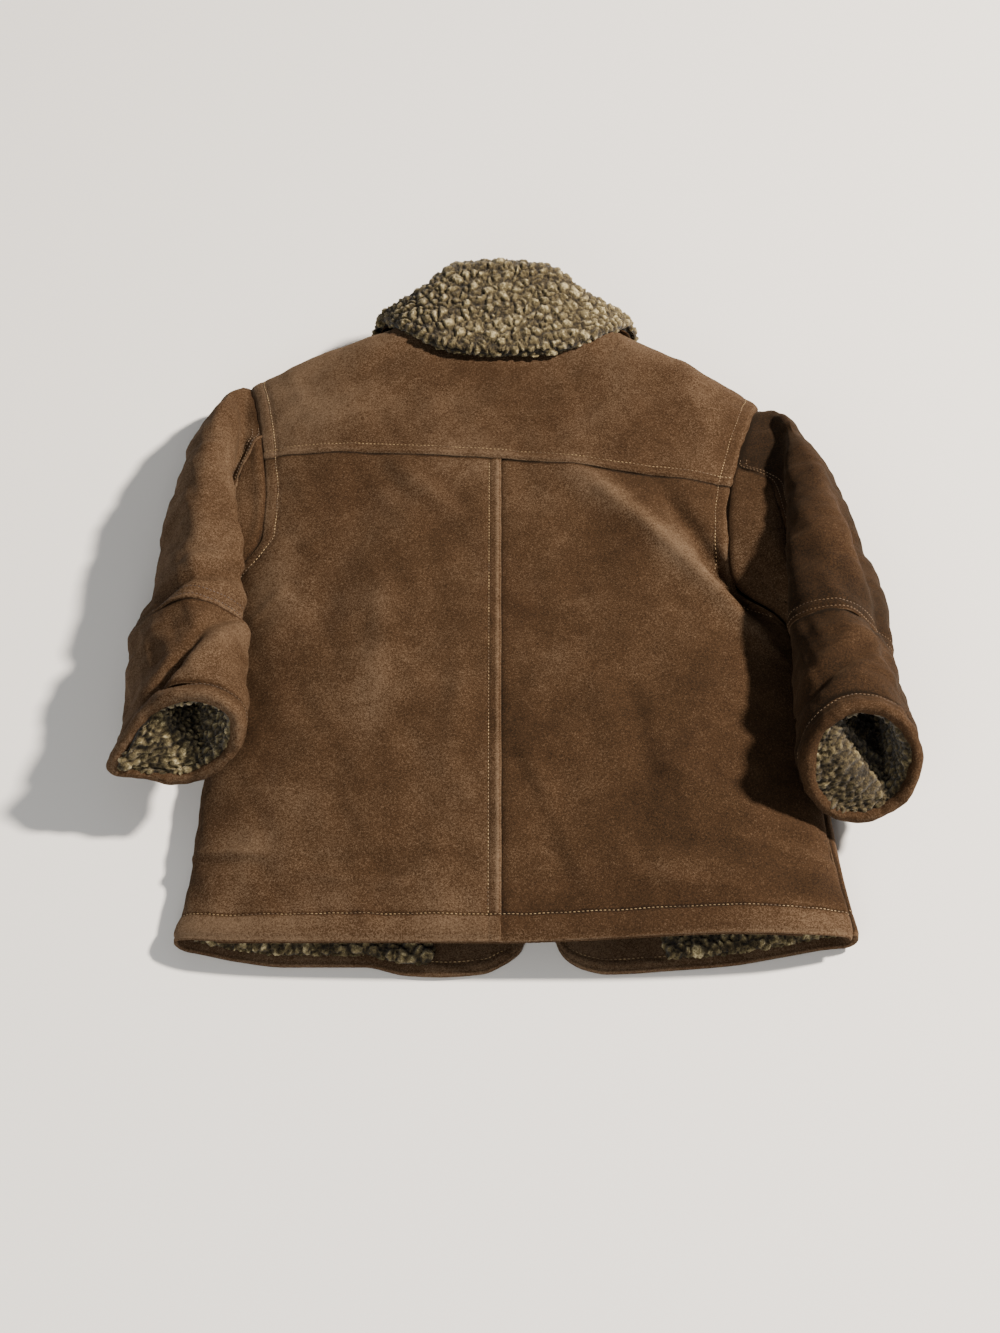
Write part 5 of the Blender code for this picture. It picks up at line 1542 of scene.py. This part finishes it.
for side in ("left", "right"):
    grid, turned, (hem, _, outer, opening) = front_part(
        side, stops(HEM_STEPS, 70, SEAM_STEPS), stops(SEAM_STEPS, 60, LAP_STEPS)
    )
    rise = -1.4 * np.exp(-((outer / 2.0) ** 2)) - 0.8 * np.exp(-((hem / 1.6) ** 2))
    rise += groove(hem - HEM_STITCH, 0.4) + groove(opening - EDGE_STITCH, 0.4)
    flat_part = grid[..., 2] < 3.0
    rise = np.where(flat_part, np.minimum(rise, 0.0), rise)
    grid = keep_above(grid + turned * rise[..., None])
    # Wear and painted highlight along the hem's edge; painted shade where the front turns up to the
    # side seam.
    worn = 0.3 * np.exp(-((hem / 2.0) ** 2))
    dull = 0.6 * np.exp(-((outer / 2.0) ** 2))
    front = laid(f"front_{side}_suede", grid, turned, SUEDE, BROWN_SUEDE, f"front_{side}", "suede",
                 worn=(worn, 0.3), dull=(dull, 0.0))
    keep_line(grid, turned, HEM_STEPS.index(HEM_STITCH), 0, 3, -3)
    edge_column = int(np.argmin(np.abs(opening[40] - EDGE_STITCH)))
    keep_line(grid, turned, edge_column, 1, HEM_STEPS.index(HEM_STITCH), -4)

    # The rolled hem and the facing lie on the front's inner face.
    inner = SUEDE + LAYER_GAP
    grid, turned, (hem, _, _, _) = front_part(
        side, stops(FACING_STEPS[:5], 8, (0.0, 0.6, 1.6)),
        stops((0.0, 2.0), 60, (0.0, 2.0)), (0.02, FACING_FROM[side] + 0.02), stop=FRONT_HEM,
    )
    rise = -1.2 * np.exp(-((hem / 1.8) ** 2)) + 0.9 * np.exp(-((hem - 7.0) / 5.0) ** 2)
    rise = np.maximum(rise + pucker(grid[..., 0], hem - 11.0, 7.0, 0.4), -0.3)
    # Wear and painted light along the turned hem, where it shows inside the open hem.
    worn = 0.35 * np.exp(-(hem - 4.0) ** 2 / 9.0)
    band = laid(f"hem_turn_{side}_suede", grid - turned * (rise[..., None] + inner), turned, SUEDE,
                BROWN_SUEDE, f"hem_turn_{side}", "suede_inside", worn=(worn, 0.25), dull=(0.0, 0.0))

    grid, turned, (hem, _, outer, opening) = front_part(
        side, stops(FACING_STEPS, 60, (0.0, 0.6, 2.0)),
        stops((0.0, 0.6, 1.6, 3.0), 20, FACING_STEPS), (FACING_FROM[side], 1.0),
    )
    edge = np.minimum(hem, opening)
    rise = -1.2 * np.exp(-((edge / 1.8) ** 2)) + 0.9 * np.exp(-((edge - 4.0) / 3.0) ** 2)
    rise += groove(edge - EDGE_STITCH, 0.6, 1.4)
    rise += pucker(grid[..., 0] + grid[..., 1], edge - EDGE_STITCH, 6.0, 0.5)
    rise = np.maximum(rise - 0.6 * np.exp(-((outer / 2.0) ** 2)), -0.4)
    # Wear and painted light along the facing's edge and its stitching, and over its rim and inner face.
    worn = 0.3 * np.exp(-(edge - 3.0) ** 2 / 6.0)
    worn += 0.3 * np.exp(-((edge - EDGE_STITCH) / 1.5) ** 2)
    grid = grid - turned * (rise[..., None] + SUEDE + FACING_GAP)
    facing = laid(f"facing_{side}_suede", grid, turned, SUEDE, BROWN_SUEDE, f"facing_{side}",
                  "suede_inside", worn=(worn, 0.3), dull=(0.0, 0.0))
    inside = grid - turned * SUEDE
    row = FACING_STEPS.index(EDGE_STITCH)
    keep_line(inside, -turned, row, 0, 3, -row - 1)
    keep_line(inside, -turned, -row - 1, 1, row, -4)

    # Pile between them: curls stand up over the first 50 mm, where the open hem shows them.
    grid, turned, (hem, _, _, _) = front_part(
        side, stops((0.0, 1.0, 4.0, 8.0), 40, (0.0, 1.0)), stops((0.0, 1.0), 34, (0.0, 1.0)),
        (LINING_FROM, FACING_FROM[side] + 0.01), up=FRONT_HEM - PILE_OVERHANG,
    )
    deep = inner + 2.4 * ease((PILE_OVERHANG + 3.0 - hem) / 3.0)
    grid = grid - turned * deep[..., None]
    lining = laid(f"lining_front_{side}_backing", grid, turned, FRONT_LINING, OLIVE_PILE,
                  f"lining_front_{side}", "pile", **BACKING_SHADES)
    curls = pile_on(
        f"lining_front_{side}_curls", (grid - turned * FRONT_LINING)[:FRONT_CURL_ROWS],
        -turned[:FRONT_CURL_ROWS], 1.1, Lump=0.0058, Height=0.003,
    )
    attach(curls, "root")
    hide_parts(f"lining_front_{side}")

# ---------------------------------------------------------------------------------------
# Back lining: a turned suede hem and pile under the lower back, and pile under the yoke.
# They follow the inner face of the back and show only through the open hem.
# ---------------------------------------------------------------------------------------
HEM_TURN_BACK = 17.5
LINING_SPAN = 0.84
# How deep under the back's or the yoke's outer face each layer begins.
HEM_TURN_DEPTH = 4.6
BACK_LINING_DEPTH = 5.6
YOKE_LINING_DEPTH = 3.2
BACK_CURL_ROWS = 9


def back_layer(rows, low, high):
    """Grid inside both lower back panels, from the left side edge to the right."""
    halves = []
    for side in ("left", "right"):
        def inward(y, side=side):
            """Marks of the lining's side edge, short of the panel's."""
            centre = edge_mark(side, y, "centre")
            return centre + (edge_mark(side, y, "back") - centre) * LINING_SPAN

        grid = panel_grid(side, rows, stops((0.0, 1.0), 40, (0.0, 1.0)), low, high,
                          lambda y, side=side: edge_mark(side, y, "centre"), inward)[0]
        halves.append(grid)
    grid = np.concatenate([halves[0][:, :0:-1], halves[1]], axis=1)
    turned = normals(grid)
    return grid, turned * np.sign(turned[..., 2].mean())


grid, turned = back_layer(
    stops((0.0, 0.6, 1.4, 3.0), 6, (0.0, 1.0)),
    lambda x: read(HEM_BACK, "y", x) + 0.6, lambda x: read(HEM_BACK, "y", x) + HEM_TURN_BACK,
)
# The turned back hem gets an even mix of painted highlight and painted shade.
hem_turn = piece("hem_turn_back_suede", grid - turned * HEM_TURN_DEPTH, turned, SUEDE, BROWN_SUEDE,
                 worn=(0.15, 0.15), dull=(0.1, 0.1))
grid, turned = back_layer(
    stops((0.0, 1.0), 44, (0.0, 1.0)),
    lambda x: read(HEM_BACK, "y", x) + HEM_TURN_BACK - 1.0, lambda x: read(YOKE_SEAM, "y", x) - 4.0,
)
grid = grid - turned * BACK_LINING_DEPTH
lining = piece("lining_back_backing", grid, turned, PILE, OLIVE_PILE, **BACKING_SHADES)
curls = pile_on(
    "lining_back_curls", (grid - turned * PILE)[:BACK_CURL_ROWS], -turned[:BACK_CURL_ROWS], 1.5,
    Lump=0.0062, Height=0.0026,
)
for thing, cad, slot in ((hem_turn, "hem_turn_back", "suede_inside"), (lining, "lining_back", "pile"),
                         (curls, "lining_back", "pile")):
    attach(thing, "root")
    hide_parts(cad)

# Its tip value paints the pile at the darker, shaded end of its colours.
yoke_lining = piece(
    "lining_yoke_backing", (YOKE_GRID - YOKE_TURNED * YOKE_LINING_DEPTH)[6:54:3, 15:-15:3],
    YOKE_TURNED[6:54:3, 15:-15:3], PILE, OLIVE_PILE, tip=(0.3, 0.3), tone=(0.5, 0.5),
)
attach(yoke_lining, "root")
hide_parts("lining_yoke")

# ---------------------------------------------------------------------------------------
# Topstitching: thick waxed thread in pale tan, 2.6 mm to a stitch, sunk into the suede along
# the seams, hems and cuffs that show. Each stitch is a separate small raised oval of thread.
# ---------------------------------------------------------------------------------------
STITCH_PITCH = 2.6
# Size of the dusty patches on the thread, in mm.
DUST = 100 / 9


def thread_finish(name, worn, clean):
    """Waxed polyester thread: slightly shiny, rubbed dark with suede dust in places."""
    material = bpy.data.materials.new(name)
    material.use_nodes = True
    tree = material.node_tree
    shader = tree.nodes["Principled BSDF"]
    place = tree.nodes.new("ShaderNodeTexCoord").outputs["Object"]
    wear = node(tree, "ShaderNodeTexNoise", None, {"Vector": place}, Scale=1000 / DUST, Detail=4.0)
    ramp = node(tree, "ShaderNodeValToRGB", None, {"Fac": wear.outputs["Fac"]})
    ramp.color_ramp.elements[0].position = 0.38
    ramp.color_ramp.elements[0].color = linear(worn)
    ramp.color_ramp.elements[1].position = 0.6
    ramp.color_ramp.elements[1].color = linear(clean)
    tree.links.new(ramp.outputs["Color"], shader.inputs["Base Color"])
    shader.inputs["Roughness"].default_value = 0.6
    return material


def stitch_tree(material):
    """Tree that sets stitches along lines, each lying on the cloth by its up direction."""
    tree = bpy.data.node_groups.new("stitches", "GeometryNodeTree")
    given, result = sockets(tree, Pitch=STITCH_PITCH / 1000, Length=0.00092, Thread=0.00036)
    curve = node(tree, "GeometryNodeMeshToCurve", None, {"Mesh": given.outputs["Geometry"]})
    even = node(tree, "GeometryNodeResampleCurve", {"mode": "LENGTH"},
                {"Curve": curve.outputs["Curve"], "Length": given.outputs["Pitch"]})
    upward = node(tree, "GeometryNodeInputNamedAttribute", {"data_type": "FLOAT_VECTOR"}, Name="up")
    run = tree.nodes.new("GeometryNodeInputTangent")
    stand = node(tree, "FunctionNodeAlignRotationToVector", {"axis": "Z"},
                 {"Vector": upward.outputs["Attribute"]})
    turn = node(tree, "FunctionNodeAlignRotationToVector", {"axis": "X", "pivot_axis": "Z"},
                {"Rotation": stand.outputs[0], "Vector": run.outputs["Tangent"]})
    ball = node(tree, "GeometryNodeMeshUVSphere", None, None, Segments=6, Rings=4, Radius=1.0)
    length, thread = given.outputs["Length"], given.outputs["Thread"]
    sizes = node(tree, "ShaderNodeCombineXYZ", None, {"X": length, "Y": thread, "Z": thread})
    stitch = node(tree, "GeometryNodeTransform", None,
                  {"Geometry": ball.outputs["Mesh"], "Scale": sizes.outputs["Vector"]})
    put = node(tree, "GeometryNodeInstanceOnPoints", None,
               {"Points": even.outputs["Curve"], "Instance": stitch.outputs["Geometry"],
                "Rotation": turn.outputs[0]})
    made = node(tree, "GeometryNodeRealizeInstances", None, {"Geometry": put.outputs["Instances"]})
    coated = node(tree, "GeometryNodeSetMaterial", None,
                  {"Geometry": made.outputs["Geometry"], "Material": material})
    tree.links.new(coated.outputs["Geometry"], result.inputs["Geometry"])
    return tree


for group, worn, clean in (("body", "#4d3b28", "#917a57"), ("sleeves", "#3a2a1b", "#665036"),
                           ("dusty", "#2e2015", "#49372a")):
    points = []
    ups = []
    edges = []
    for line, way in STITCH_LINES[group]:
        edges += [(len(points) + k, len(points) + k + 1) for k in range(len(line) - 1)]
        points += (line / 1000.0 + np.array(ZERO)).tolist()
        ups += way.tolist()
    mesh = bpy.data.meshes.new(f"topstitching_{group}")
    mesh.from_pydata(points, edges, [])
    mesh.attributes.new("up", "FLOAT_VECTOR", "POINT").data.foreach_set("vector", np.array(ups).ravel())
    stitches = bpy.data.objects.new(f"topstitching_{group}", mesh)
    bpy.context.scene.collection.objects.link(stitches)
    thread = thread_finish(f"tan waxed thread, {group}", worn, clean)
    made_by(stitch_tree(thread), stitches)
    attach(stitches, "root")
